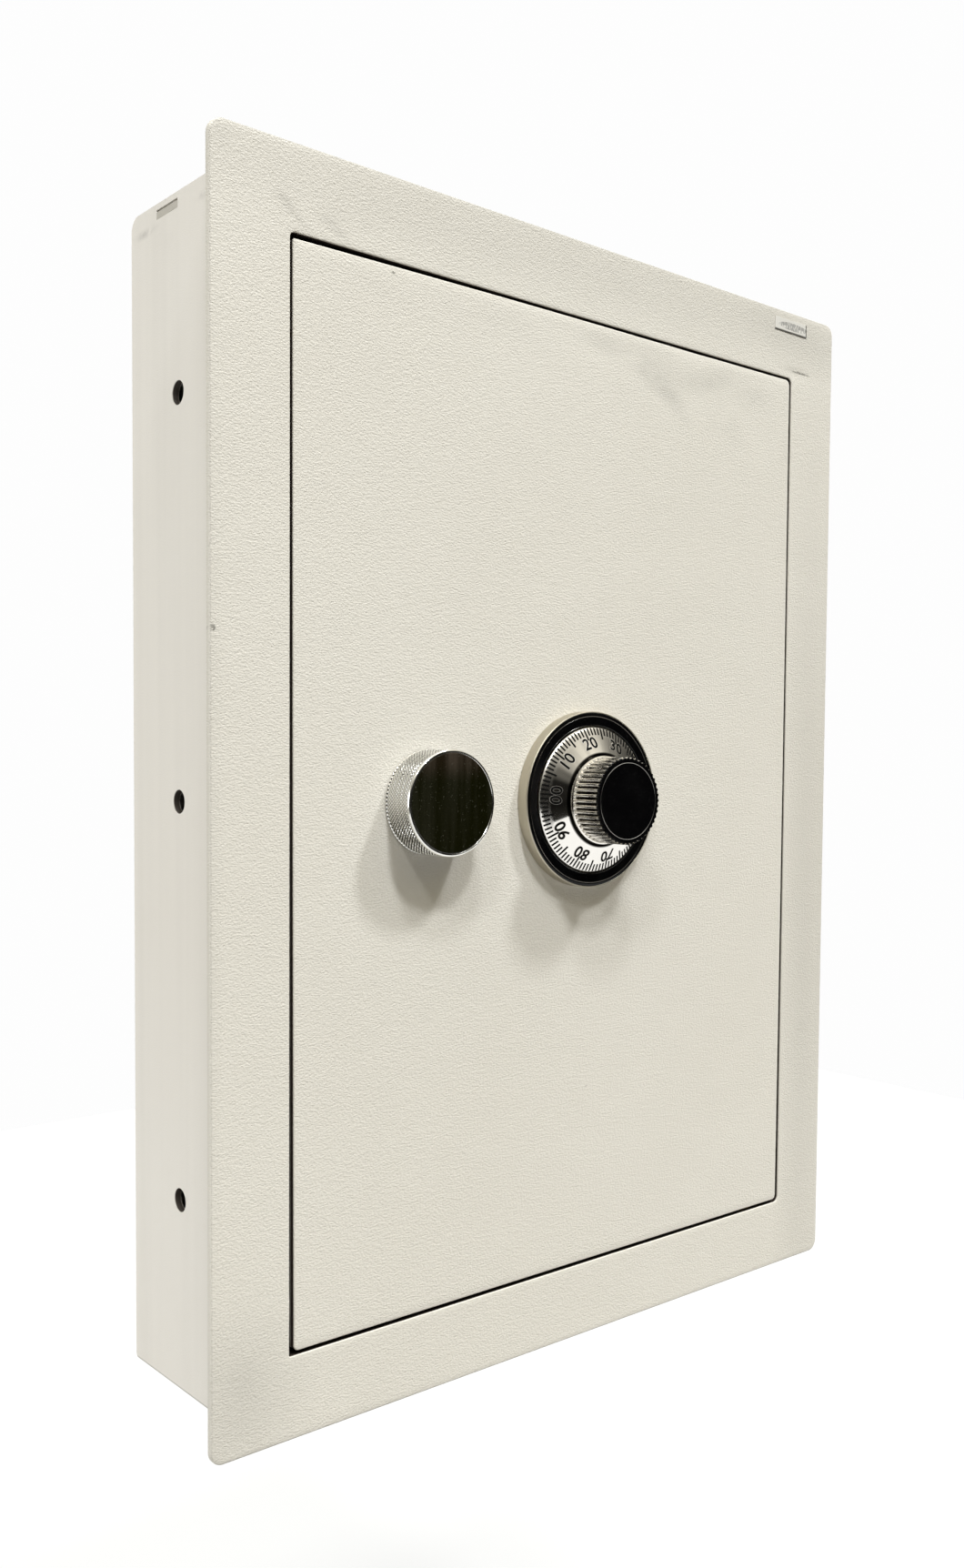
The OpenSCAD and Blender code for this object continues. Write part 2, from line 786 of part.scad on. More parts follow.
front_flange();
side_panel(-1);  // left_side_panel
side_panel(1);  // right_side_panel
end_panel(inner_z);  // top_panel
end_panel(-roof_z);  // bottom_panel
back_panel();
jamb_bar(jamb_z);  // jamb_top
jamb_bar(-jamb_z - jamb_t);  // jamb_bottom
jamb_post(-jamb_x - jamb_t);  // jamb_left
jamb_post(jamb_x);  // jamb_right
door_stops();
shelf(shelf_z);  // shelf_upper
shelf(-shelf_z);  // shelf_lower
shelf_brackets();
label();
door_plate();
hinge_lugs();
hinge_pins();
thrust_washer();
dead_bar();
dead_bar_screws();
hard_plate();
hard_plate_screws();
lock_case();
lock_cover();
lock_screws();
spindle_tube();
wheel_post();
bolt_guides();
guide_screws();
bar_guide_posts();
handle_bushing();
dial_ring_body();
dial_ring_face();
dial_ring_screws();
bolt_bar();
locking_bolts();
bolt_nuts();
knob_body();
knob_face();
knob_set_screw();
handle_spindle();
spindle_clip();
drive_crank();
crank_pin();
dial_plate();
dial_knob();
dial_cap();
dial_spindle();
drive_cam();
cam_key();
wheel(1);  // wheel_1
wheel(2);  // wheel_2
wheel(3);  // wheel_3
lock_bolt();
bolt_tongue();
fence_lever();
lever_screw();
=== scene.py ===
"""Looks of the wall safe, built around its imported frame.

Metres, in the frame's own axes: X to the right seen from the front, Y into the wall, Z up.
Sizes written in millimetres are multiplied by MM where they meet the mesh.
"""
import json
import math

import bmesh
import bpy
from mathutils import Matrix, Vector


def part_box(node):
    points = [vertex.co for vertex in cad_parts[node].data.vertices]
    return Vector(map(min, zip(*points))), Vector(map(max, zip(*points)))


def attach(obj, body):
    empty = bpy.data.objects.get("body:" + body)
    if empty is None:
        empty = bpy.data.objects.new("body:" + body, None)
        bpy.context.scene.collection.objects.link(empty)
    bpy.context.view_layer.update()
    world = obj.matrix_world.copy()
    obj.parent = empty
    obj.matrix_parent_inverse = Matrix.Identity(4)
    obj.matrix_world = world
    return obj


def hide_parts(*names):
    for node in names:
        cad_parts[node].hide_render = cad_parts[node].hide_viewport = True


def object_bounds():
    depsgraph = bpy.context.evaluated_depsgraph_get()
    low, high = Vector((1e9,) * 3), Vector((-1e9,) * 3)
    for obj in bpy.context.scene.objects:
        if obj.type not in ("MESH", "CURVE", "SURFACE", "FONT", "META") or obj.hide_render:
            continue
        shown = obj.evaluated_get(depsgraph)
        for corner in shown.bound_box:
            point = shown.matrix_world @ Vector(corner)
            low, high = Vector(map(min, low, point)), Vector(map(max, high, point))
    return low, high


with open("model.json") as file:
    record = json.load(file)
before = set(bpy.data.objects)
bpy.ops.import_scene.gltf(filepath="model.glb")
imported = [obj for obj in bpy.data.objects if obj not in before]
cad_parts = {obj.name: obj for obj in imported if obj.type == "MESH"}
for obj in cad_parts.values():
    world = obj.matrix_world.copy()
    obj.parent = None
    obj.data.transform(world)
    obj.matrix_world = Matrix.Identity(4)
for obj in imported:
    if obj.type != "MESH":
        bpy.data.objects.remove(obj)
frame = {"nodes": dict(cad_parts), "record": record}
cad_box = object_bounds()
nodes = frame["nodes"]
scene = bpy.context.scene
scene.view_settings.view_transform = "Standard"
scene.view_settings.look = "None"

MM = 0.001
TURN = 2 * math.pi
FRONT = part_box("door_plate")[0].y / MM            # the door's front face, in millimetres along Y


def centre_of(node):
    low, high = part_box(node)
    return (low + high) / 2


def size_of(node):
    low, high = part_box(node)
    return high - low


def top_of(node):
    """How high a node stands above the door's front, in mm."""
    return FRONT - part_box(node)[0].y / MM


# ---- Camera ----

CAMERA_PLACE = Vector((-0.4590, -0.5016, 0.0211))
CAMERA_TURN = 41.68                               # degrees from +Y towards +X
CAMERA_PITCH = 2.65                               # degrees below the horizon
CAMERA_ROLL = 0.55
CAMERA_LENS = 31.99
CAMERA_SHIFT = (-0.0449, 0.0231)


def make_camera():
    data = bpy.data.cameras.new("camera")
    data.lens = CAMERA_LENS
    data.shift_x, data.shift_y = CAMERA_SHIFT
    data.clip_start = 0.01
    camera = bpy.data.objects.new("camera", data)
    scene.collection.objects.link(camera)
    turn = Matrix.Rotation(math.radians(-CAMERA_TURN), 4, "Z")
    tilt = Matrix.Rotation(math.radians(90 - CAMERA_PITCH), 4, "X")
    roll = Matrix.Rotation(math.radians(CAMERA_ROLL), 4, "Z")
    camera.matrix_world = Matrix.Translation(CAMERA_PLACE) @ turn @ tilt @ roll
    scene.camera = camera


# ---- Studio ----

# Each lamp: its direction from the door in parts of X, Y and Z, its power in watts, its width in m.
LAMPS = {
    "lamp_right": ((0.85, -1.0, 1.94), 322.0, 0.85),
    "lamp_middle": ((-0.15, -1.0, 1.48), 277.0, 0.85),
    "lamp_high": ((-0.42, -1.0, 2.23), 176.0, 0.85),
    "lamp_left": ((-1.19, -1.0, 1.69), 120.0, 0.85),
    "left_fill": ((-1.0, 0.25, 0.10), 275.0, 4.0),
    "right_fill": ((1.0, 0.30, 0.10), 190.0, 4.0),
    "back_fill": ((0.2, 1.0, 0.30), 150.0, 4.0),
}
LAMP_DISTANCE = 8.0
LAMP_COLOR = (0.965, 0.985, 1.0)
ROOM_COLOR = (1.0, 0.86, 0.50)
SHINE_COLOR = (1.0, 0.95, 0.82)                   # the room's colour in reflections
ROOM_LIGHT = 0.80
SHINE_GAIN = 1.5                                  # how much brighter the room is in reflections
BACK_WALL_LIGHT = 0.60                            # how bright the room's back is
# The room's brightness from straight down to straight up, and how much of it is back wall from the front
# to the back. Both directions run from 0 to 1.
ROOM_BY_HEIGHT = [(0.0, 1.25), (0.26, 1.25), (0.33, 0.012), (0.62, 0.012), (0.69, 0.22), (0.78, 0.42),
                  (0.87, 0.85), (1.0, 1.00)]
ROOM_BY_DEPTH = [(0.0, 0.0), (0.50, 0.0), (0.62, 1.0), (1.0, 1.0)]
PATCH_SCALE = 3.0                                 # of the room's lighter and darker patches
PATCH_LEVELS = [(0.0, 0.35), (0.36, 0.35), (0.60, 1.35), (1.0, 1.35)]
BACKDROP = (0.985, 0.985, 0.985, 1.0)             # what the camera sees behind the safe
FLOOR_DROP = 0.45                                 # the floor lies this far under the safe
FLOOR_HALF = 2.2
FLOOR_COLOR = (0.298, 0.294, 0.285)
FLOOR_TONES = (0.308, 0.304, 0.295, 1), (0.288, 0.284, 0.275, 1)
FLOOR_GLOW = (0.93, 0.955, 1.0, 1)                # as white as the backdrop, seen directly
FLOOR_GLOW_LEVEL = 0.60


def make_lamp(name, direction, power, width):
    data = bpy.data.lights.new(name, "AREA")
    data.shape = "DISK"
    data.size = width
    data.energy = power
    data.color = LAMP_COLOR
    lamp = bpy.data.objects.new(name, data)
    direction = Vector(direction).normalized()
    lamp.location = centre_of("door_plate") + direction * LAMP_DISTANCE
    lamp.rotation_mode = "QUATERNION"
    lamp.rotation_quaternion = direction.to_track_quat("Z", "Y")
    scene.collection.objects.link(lamp)


def make_world():
    """White to the camera. As light and reflections: bright above, below and behind, dark in front."""
    world = bpy.data.worlds.new("studio")
    scene.world = world
    world.use_nodes = True
    net = Net(world.node_tree)
    net.tree.nodes.clear()
    direction = net.add("ShaderNodeTexCoord").outputs["Generated"]
    axes = net.axes(direction)
    behind = net.ramp(axes["Y"], ROOM_BY_DEPTH, signed=True)
    room = net.math("MAXIMUM", net.ramp(axes["Z"], ROOM_BY_HEIGHT, signed=True),
                    net.times(behind, BACK_WALL_LIGHT))
    uneven = net.ramp(net.noise(direction, PATCH_SCALE, detail=3.0), PATCH_LEVELS)
    path = net.add("ShaderNodeLightPath").outputs
    gain = net.scaled(path["Is Glossy Ray"], SHINE_GAIN - 1, 1.0)
    neutral = net.math("MAXIMUM", path["Is Glossy Ray"], behind)
    soft = net.add("ShaderNodeBackground")
    net.link(net.blend(neutral, (*ROOM_COLOR, 1), (*SHINE_COLOR, 1)), soft.inputs["Color"])
    net.link(net.times(room, uneven, net.times(gain, ROOM_LIGHT)), soft.inputs["Strength"])
    plain = net.add("ShaderNodeBackground")
    plain.inputs["Color"].default_value = BACKDROP
    mix = net.add("ShaderNodeMixShader")
    net.link(path["Is Camera Ray"], mix.inputs[0])
    net.link(soft.outputs[0], mix.inputs[1])
    net.link(plain.outputs[0], mix.inputs[2])
    net.link(mix.outputs[0], net.add("ShaderNodeOutputWorld").inputs["Surface"])


def make_floor():
    half, z = FLOOR_HALF, cad_box[0].z - FLOOR_DROP
    corners = [(-half, -half, z), (half, -half, z), (half, half, z), (-half, half, z)]
    mesh = bpy.data.meshes.new("floor")
    mesh.from_pydata(corners, [], [(0, 1, 2, 3)])
    floor = bpy.data.objects.new("floor", mesh)
    scene.collection.objects.link(floor)
    mesh.materials.append(floor_material())


# ---- Material nodes ----

class Net:
    """A short way to write a node tree."""

    def __init__(self, tree):
        self.tree = tree

    def add(self, kind, **settings):
        node = self.tree.nodes.new(kind)
        for key, value in settings.items():
            setattr(node, key, value)
        return node

    def link(self, source, target):
        self.tree.links.new(source, target)

    def feed(self, socket, value):
        if isinstance(value, bpy.types.NodeSocket):
            self.link(value, socket)
        else:
            socket.default_value = value

    def math(self, operation, a, b=0.0):
        node = self.add("ShaderNodeMath", operation=operation)
        self.feed(node.inputs[0], a)
        self.feed(node.inputs[1], b)
        return node.outputs[0]

    def times(self, product, *factors):
        for factor in factors:
            product = self.math("MULTIPLY", product, factor)
        return product

    def scaled(self, value, factor, start):
        """value times factor, plus start."""
        node = self.add("ShaderNodeMath", operation="MULTIPLY_ADD")
        self.link(value, node.inputs[0])
        node.inputs[1].default_value = factor
        node.inputs[2].default_value = start
        return node.outputs[0]

    def axes(self, coord):
        """The X, Y and Z of a place, by name."""
        node = self.add("ShaderNodeSeparateXYZ")
        self.link(coord, node.inputs[0])
        return node.outputs

    def ramp(self, value, stops, signed=False):
        """Straight lines through (place, value) stops. signed first carries -1..1 to 0..1."""
        if signed:
            value = self.scaled(value, 0.5, 0.5)
        node = self.add("ShaderNodeFloatCurve")
        curve = node.mapping.curves[0]
        top = max(v for _, v in stops)
        places = [(0.0, stops[0][1] / top)]
        places += [(p, v / top) for p, v in stops if 0 < p < 1]
        places += [(1.0, stops[-1][1] / top)]
        while len(curve.points) < len(places):
            curve.points.new(0.5, 0.5)
        for point, (place, height) in zip(curve.points, places):
            point.location = (place, height)
            point.handle_type = "VECTOR"
        node.mapping.update()
        self.feed(node.inputs["Value"], value)
        return self.times(node.outputs[0], top)

    def noise(self, coord, scale, detail=2.0, rough=0.5, stretch=None):
        if stretch:
            mapping = self.add("ShaderNodeMapping")
            mapping.inputs["Scale"].default_value = stretch
            self.link(coord, mapping.inputs["Vector"])
            coord = mapping.outputs[0]
        node = self.add("ShaderNodeTexNoise")
        self.link(coord, node.inputs["Vector"])
        node.inputs["Scale"].default_value = scale
        node.inputs["Detail"].default_value = detail
        node.inputs["Roughness"].default_value = rough
        return node.outputs["Fac"]

    def blend(self, factor, a, b):
        """Colour a where factor is 0, colour b where it is 1."""
        node = self.add("ShaderNodeMix", data_type="RGBA")
        self.feed(node.inputs[0], factor)
        self.feed(node.inputs[6], a)
        self.feed(node.inputs[7], b)
        return node.outputs[2]

    def spot(self, coord, x, z, length, width, angle=0.0, core=0.2):
        """1 at a place on the front, fading to 0 at an ellipse's rim, in millimetres and degrees."""
        shift = self.add("ShaderNodeMapping", vector_type="TEXTURE")
        shift.inputs["Location"].default_value = (x * MM, 0, z * MM)
        shift.inputs["Rotation"].default_value = (0, math.radians(-angle), 0)
        shift.inputs["Scale"].default_value = (length * MM / 2, 1e6, width * MM / 2)
        self.link(coord, shift.inputs["Vector"])
        reach = self.add("ShaderNodeVectorMath", operation="LENGTH")
        self.link(shift.outputs[0], reach.inputs[0])
        fade = self.add("ShaderNodeMapRange", interpolation_type="SMOOTHSTEP")
        self.link(reach.outputs["Value"], fade.inputs["Value"])
        fade.inputs["From Min"].default_value = 1.0
        fade.inputs["From Max"].default_value = core
        return fade.outputs["Result"]

    def between(self, value, start, end, kind="LINEAR"):
        """0 at start and 1 at end, in millimetres; start may lie above end."""
        node = self.add("ShaderNodeMapRange", interpolation_type=kind)
        self.link(value, node.inputs["Value"])
        node.inputs["From Min"].default_value = start * MM
        node.inputs["From Max"].default_value = end * MM
        return node.outputs["Result"]

    def reach(self, coord, axis_x):
        """Distance from an axis along Y."""
        shift = self.add("ShaderNodeVectorMath", operation="MULTIPLY_ADD")
        shift.inputs[1].default_value = (1, 0, 1)
        shift.inputs[2].default_value = (-axis_x * MM, 0, 0)
        self.link(coord, shift.inputs[0])
        length = self.add("ShaderNodeVectorMath", operation="LENGTH")
        self.link(shift.outputs[0], length.inputs[0])
        return length.outputs["Value"]

    def below(self, value, limit):
        """1 where the distance from the middle is less than the limit, in millimetres."""
        return self.between(self.math("ABSOLUTE", value), limit + 1, limit)

    def bump(self, layers):
        """Several heights laid over one another: (height, strength, distance in metres)."""
        normal = None
        for height, strength, distance in layers:
            node = self.add("ShaderNodeBump")
            node.inputs["Strength"].default_value = strength
            node.inputs["Distance"].default_value = distance
            self.link(height, node.inputs["Height"])
            if normal:
                self.link(normal, node.inputs["Normal"])
            normal = node.outputs["Normal"]
        return normal


def start_material(name, color, metallic=0.0, roughness=0.5):
    material = bpy.data.materials.new(name)
    material.use_nodes = True
    net = Net(material.node_tree)
    shader = material.node_tree.nodes["Principled BSDF"]
    shader.inputs["Base Color"].default_value = (*color, 1.0)
    shader.inputs["Metallic"].default_value = metallic
    shader.inputs["Roughness"].default_value = roughness
    coord = net.add("ShaderNodeTexCoord").outputs["Object"]
    return material, net, shader, coord


def toned(color, factor):
    """A colour made darker, with its alpha."""
    return (*[c * factor for c in color], 1)


def floor_material():
    """White sheet that meets the white background without a line."""
    material, net, shader, coord = start_material("floor_white", FLOOR_COLOR, roughness=0.8)
    net.link(net.blend(net.noise(coord, 1.5, detail=1.0), *FLOOR_TONES), shader.inputs["Base Color"])
    shader.inputs["Emission Color"].default_value = FLOOR_GLOW
    path = net.add("ShaderNodeLightPath").outputs
    seen = net.math("MAXIMUM", path["Is Camera Ray"], path["Is Glossy Ray"])
    net.link(net.times(seen, FLOOR_GLOW_LEVEL), shader.inputs["Emission Strength"])
    return material


PAINT = (0.808, 0.780, 0.718)
PAINT_SHADE = (0.788, 0.758, 0.694)
SIDE_PAINT = (0.792, 0.770, 0.735)
SIDE_SHADE = (0.772, 0.746, 0.708)
TOP_PAINT = (0.500, 0.480, 0.440)               # the top panel, darker than the sides
TOP_SHADE = (0.460, 0.440, 0.400)
SOOT = (0.30, 0.29, 0.26)
SHADE_AND_GRIME_TONE = 0.52                                 # how bright grime and painted shade are, in parts of the paint
# Near black, painted where shade falls: deep in the gap round the door and in the anchor holes.
SHADE_BLACK = (0.030, 0.019, 0.014, 1)
# Painted shade in the gap round the door, in mm: how far behind the front it begins and is full, how far
# it has ended and is still full, and the half width and half height between which the gap lies.
GAP_SHADE_START, GAP_SHADE_END = (0.45, 1.0), (3.4, 2.4)
GAP_INSIDE, GAP_OUTSIDE = (155, 227), (170, 240)
# Wall anchor holes, in mm: how far back and how high their middles lie, and the size of the spot of
# painted shade.
HOLE_DEPTH, HOLE_HEIGHTS, HOLE_SPOT = 47, (-172, 0, 172), 14
# Painted shade on the sheet's cut edge in them, in mm under the skin: begins and is full, from inside
# and outside.
SHEET_EDGE_SHADE = ((2.9, 2.8), (0.2, 0.4))
EDGE_SHADE = (0.9, 0.4)                            # from an edge: where its painted shade begins and is full
PEEL_SCALE, PEEL_HEIGHT = 1450.0, 0.00026         # of the orange peel
WAVE_SCALE, WAVE_HEIGHT = 24.0, 0.0010            # of the sheet's slow waves

# Marks on the front: place, length and width in millimetres, angle, strength.
DOOR_SHADES = [(70, 216, 180, 26, -4, 0.05), (-60, 214, 160, 20, 0, 0.03)]
DOOR_SMUDGES = [(46, 214, 54, 22, -38, 0.34), (64, 204, 60, 20, -48, 0.28), (20, 220, 70, 16, -6, 0.24),
                (92, 218, 66, 18, 14, 0.20), (128, 215, 50, 20, 8, 0.20), (108, 198, 50, 26, -35, 0.14),
                (-60, 221, 100, 14, -2, 0.12), (-118, 216, 60, 20, -10, 0.10)]
DOOR_SPECKS = [(-109, 226.5, 3.0, 1.4, 10, 0.95), (9, -142, 2.6, 1.2, 20, 0.35),
               (-120, 30, 1.6, 1.0, 0, 0.25), (70, 120, 1.5, 0.9, 0, 0.25),
               (-40, -205, 1.8, 1.0, 0, 0.25)]
# Flange marks: the first three are smudges. The rest are painted shade on the top, the right side, the
# lower left corner, along the outer edges (dimming the light their rounding catches) and along the
# crease.
FLANGE_SHADE_AND_DIRT = [(-161, 242, 20, 8, -38, 0.24), (-156, 237, 22, 5, -30, 0.16),
                 (-139, 237, 24, 6, -22, 0.18), (180, -90, 64, 800, 0, 0.26),
                 (0, 255, 760, 52, 0, 0.18), (-195, 0, 14, 620, 0, 0.10), (-184, -245, 90, 120, 0, 0.28),
                 (-120, -266, 160, 12, 0, 0.09), (0, 266, 430, 9, 0, 0.10), (-192, 262, 26, 20, 0, 0.10),
                 (195, 0, 12, 620, 0, 0.08), (165, 235.8, 30, 4.6, 0, 0.20),
                 (0, 267.2, 1400, 3.2, 0, 0.75), (160, 255, 150, 44, -6, 0.20),
                 (195.8, 0, 2.6, 1400, 0, 0.60)]
# Smudges, except (-180, -235), which is painted shade in the lower left corner.
FLANGE_SMUDGES_AND_SHADE = [(-159, 240, 25, 9, -36, 0.80), (-138, 238, 26, 7, -24, 0.60),
                  (-120, 246, 70, 14, 4, 0.20), (178, -132, 16, 14, 0, 0.25),
                  (-180, -235, 30, 40, 0, 0.12), (60, 262, 70, 6, 0, 0.10)]
# Chips. The last one is a thin line of painted shade along the crease near the top right.
FLANGE_CHIPS_AND_CREASE_SHADE = [(-194.2, 70, 3.4, 3.2, 0, 1.0), (-158.6, -210, 3.0, 8.0, 0, 0.95),
                (-158.6, 73, 1.6, 3.0, 0, 0.9), (167.5, 235.6, 18, 1.5, 0, 0.95)]
SIDE_SMUDGES = [(76, 245.5, 30, 6.0, 0, 0.75), (22, 247.3, 30, 6.0, 2, 0.70),
                (60, 238, 40, 14, 20, 0.10)]


def gap_painted_shade(net, axes, color):
    """Painted shade on the edges inside the gap round the door."""
    depth = net.times(net.between(axes["Y"], *[FRONT + behind for behind in GAP_SHADE_START]),
                      net.between(axes["Y"], *[FRONT + behind for behind in GAP_SHADE_END]))
    outside, inside = [net.times(net.below(axes["X"], half_w), net.below(axes["Z"], half_h))
                       for half_w, half_h in (GAP_OUTSIDE, GAP_INSIDE)]
    return net.blend(net.times(depth, net.math("SUBTRACT", outside, inside), 0.98), color, SHADE_BLACK)


def side_painted_light(net, coord, axes, place, light, color):
    """Painted shade in the anchor holes and along the lower edge, and faint upright painted reflections.
    """
    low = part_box("left_side_panel")[0]
    skin_x, low_z = -low.x / MM, low.z / MM
    wide = net.math("ABSOLUTE", axes["X"])
    sheet = net.times(*[net.between(wide, skin_x - begin, skin_x - full) for begin, full in SHEET_EDGE_SHADE])
    # Painted shade in the anchor holes.
    for z in HOLE_HEIGHTS:
        bore = net.times(net.spot(place, HOLE_DEPTH, z, HOLE_SPOT, HOLE_SPOT, 0, 0.95), sheet)
        color = net.blend(net.times(bore, 0.92), color, SHADE_BLACK)
    # Painted shade along the lower edge.
    low_edge_shade = net.between(axes["Z"], low_z + 0.9, low_z + 0.3)
    color = net.blend(net.times(low_edge_shade, 0.55), color, toned(light, 0.3))
    # Painted reflections: faint darker upright streaks.
    streak = net.noise(coord, 16.0, detail=2.0, stretch=(1.0, 4.0, 0.12))
    return net.blend(net.ramp(streak, [(0.40, 0.0), (0.70, 0.12)]), color, toned(light, SHADE_AND_GRIME_TONE))


def edge_shade_lines(net, axes, node, light, color):
    """Painted shade: a darker line along a node's outer edges, dimming the light their rounding catches.
    """
    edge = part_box(node)[1] / MM
    begin, full = EDGE_SHADE
    lines = [net.between(net.math("ABSOLUTE", axes[axis]), reach - begin, reach - full)
             for axis, reach in (("X", edge.x), ("Z", edge.z))]
    return net.blend(net.times(net.math("MAXIMUM", *lines), 0.5), color, toned(light, 0.66))


def powder_coat(name, light, shade, shades=(), smudges=(), specks=(), peel=1.0, gap=False, edge_of="",
                side=False):
    """Baked textured paint: fine orange peel, faint unevenness, with dirt, painted shade and small
    chips.

    shades and smudges are soft marks of dirt and of painted shade, smudges broken up into wisps, and
    specks are chips and a line of painted shade along a crease. peel is the strength of the orange peel.
    gap adds painted shade in the gap round the door. edge_of names the node whose outer edges get a line
    of painted shade. side is
    for the side panels: it places the marks by Y and Z and adds their painted shade and painted
    reflections.
    """
    material, net, shader, coord = start_material(name, light, roughness=0.46)
    axes = net.axes(coord)
    place = coord
    if side:
        turned = net.add("ShaderNodeCombineXYZ")
        net.link(axes["Y"], turned.inputs["X"])
        net.link(axes["Z"], turned.inputs["Z"])
        place = turned.outputs[0]
    broad = net.ramp(net.noise(coord, 7.0, detail=3.0), [(0.35, 0.0), (0.7, 1.0)])
    color = net.blend(broad, (*light, 1), (*shade, 1))
    grain = net.noise(coord, 900.0, detail=1.0)
    color = net.blend(net.times(grain, 0.10), color, toned(shade, 0.82))
    wisps = net.noise(coord, 90.0, detail=4.0, rough=0.62, stretch=(0.35, 1.0, 1.0))
    wisps = net.ramp(wisps, [(0.40, 0.0), (0.66, 1.0)])
    ragged = net.ramp(net.noise(coord, 700.0, detail=3.0), [(0.36, 0.0), (0.52, 1.0)])
    # One colour for dirt marks and for painted shade.
    shade_and_grime = toned(light, SHADE_AND_GRIME_TONE)
    for marks, core, break_up, stain in ((shades, 0.0, None, shade_and_grime), (smudges, 0.0, wisps, shade_and_grime),
                                         (specks, 0.55, ragged, (*SOOT, 1))):
        for x, z, length, width, angle, strength in marks:
            mask = net.spot(place, x, z, length, width, angle, core)
            if break_up:
                mask = net.times(mask, break_up)
            color = net.blend(net.times(mask, strength), color, stain)
    if gap:
        color = gap_painted_shade(net, axes, color)
    if side:
        color = side_painted_light(net, coord, axes, place, light, color)
    if edge_of:
        color = edge_shade_lines(net, axes, edge_of, light, color)
    net.link(color, shader.inputs["Base Color"])
    shader.inputs["Specular IOR Level"].default_value = 0.30
    rough = net.ramp(net.noise(coord, 160.0), [(0.3, 0.42), (0.7, 0.54)])
    net.link(rough, shader.inputs["Roughness"])
    skin = net.noise(coord, PEEL_SCALE, detail=1.0, rough=0.4, stretch=(0.65, 1.0, 1.1))
    waves = net.noise(coord, WAVE_SCALE, detail=1.0)
    net.link(net.bump([(waves, 0.25, WAVE_HEIGHT), (skin, peel, PEEL_HEIGHT)]), shader.inputs["Normal"])
    return material


def metal(name, color, roughness, grain=0.12, scale=260.0, stretch=(1, 1, 1), dirt=0.12):
    """Plated or machined metal with fine lines, cloudy roughness and a little dull dirt."""
    material, net, shader, coord = start_material(name, color, metallic=1.0, roughness=roughness)
    lines = net.noise(coord, scale, detail=3.0, stretch=stretch)
    dull = net.ramp(net.noise(coord, 34.0, detail=3.0), [(0.42, 0.0), (0.75, 1.0)])
    tone = net.blend(net.times(dull, dirt), (*color, 1), toned(color, 0.45))
    net.link(tone, shader.inputs["Base Color"])
    net.link(net.scaled(lines, grain, roughness - grain / 2), shader.inputs["Roughness"])
    net.link(net.bump([(lines, 0.10, 0.00005)]), shader.inputs["Normal"])
    return material


def knob_mirror():
    """Dark polished olive face with faint upright wipe marks and a painted brown reflection towards the
    top.
    """
    material, net, shader, coord = start_material("knob_mirror", (0.03, 0.03, 0.02), roughness=0.10)
    wipes = net.noise(coord, 60.0, detail=4.0, stretch=(2.6, 1.0, 0.22))
    streak = net.ramp(wipes, [(0.38, 0.0), (0.72, 1.0)])
    # Painted reflection: browner towards the top.
    upper = net.between(net.axes(coord)["Z"], 8, 20, "SMOOTHSTEP")
    olive = net.blend(streak, (0.0055, 0.0058, 0.0012, 1), (0.018, 0.018, 0.011, 1))
    brown_reflection = net.blend(streak, (0.014, 0.010, 0.005, 1), (0.066, 0.052, 0.040, 1))
    dust = net.ramp(net.noise(coord, 900.0, detail=2.0), [(0.64, 0.0), (0.77, 1.0)])
    net.link(net.blend(net.times(dust, 0.25), net.blend(upper, olive, brown_reflection), (0.16, 0.16, 0.13, 1)),
             shader.inputs["Base Color"])
    net.link(net.ramp(streak, [(0.0, 0.06), (1.0, 0.16)]), shader.inputs["Roughness"])
    return material


def clouds(net, coord):
    """The dull patches of a chrome surface."""
    return net.ramp(net.noise(coord, 60.0, detail=3.0), [(0.4, 0.0), (0.75, 1.0)])


def grooved_metal(name, tone, axis_x, valley, heights, worst):
    """Chrome with grime and painted shade in its grooves, the painted shade strongest at the bottom.

    valley is the radius where grime and painted shade begin and the one where they are full; heights are
    those of the grooves above the door; worst is their strength at the top and at the bottom.
    """
    material, net, shader, coord = start_material(name, tone, metallic=1.0, roughness=0.2)
    axes = net.axes(coord)
    near, far = FRONT - heights[1], FRONT - heights[0]
    # Grime and painted shade in the grooves between the ridges.
    shade_and_grime = net.times(net.between(net.reach(coord, axis_x), *valley),
                      net.between(axes["Y"], near, near + 0.1), net.between(axes["Y"], far + 0.1, far))
    # Stronger towards the bottom: painted shade where the chrome faces the shaded door below.
    strength = net.scaled(net.between(axes["Z"], 2, -12), worst[1] - worst[0], worst[0])
    plate = net.blend(net.times(clouds(net, coord), 0.3), (*tone, 1), toned(tone, 0.5))
    net.link(net.blend(net.times(shade_and_grime, strength), plate, (0.035, 0.030, 0.022, 1)),
             shader.inputs["Base Color"])
    rough = net.noise(coord, 260.0, detail=3.0)
    net.link(net.ramp(rough, [(0.3, 0.10), (0.7, 0.20)]), shader.inputs["Roughness"])
    return material


def dial_metal(axis_x):
    """Polished flare inside a brushed band that carries the divisions, with painted shade at the hub's
    foot.
    """
    material, net, shader, coord = start_material("dial_chrome", (0.86, 0.84, 0.80), metallic=1.0,
                                                  roughness=0.1)
    reach = net.reach(coord, axis_x)
    tone = net.blend(net.times(clouds(net, coord), 0.10), (0.88, 0.86, 0.82, 1), (0.40, 0.38, 0.35, 1))
    # Painted shade: near black in the groove round the hub's foot.
    foot = net.between(reach, HUB_RADIUS + 0.9, HUB_RADIUS + 0.2)
    net.link(net.blend(foot, tone, (0.012, 0.011, 0.009, 1)), shader.inputs["Base Color"])
    band = net.between(reach, TICK_BAND - 0.5, TICK_BAND + 0.5)
    net.link(net.scaled(band, 0.12, 0.07), shader.inputs["Roughness"])
    grain = net.noise(coord, 900.0, detail=2.0)
    net.link(net.bump([(grain, 0.06, 0.00005)]), shader.inputs["Normal"])
    return material


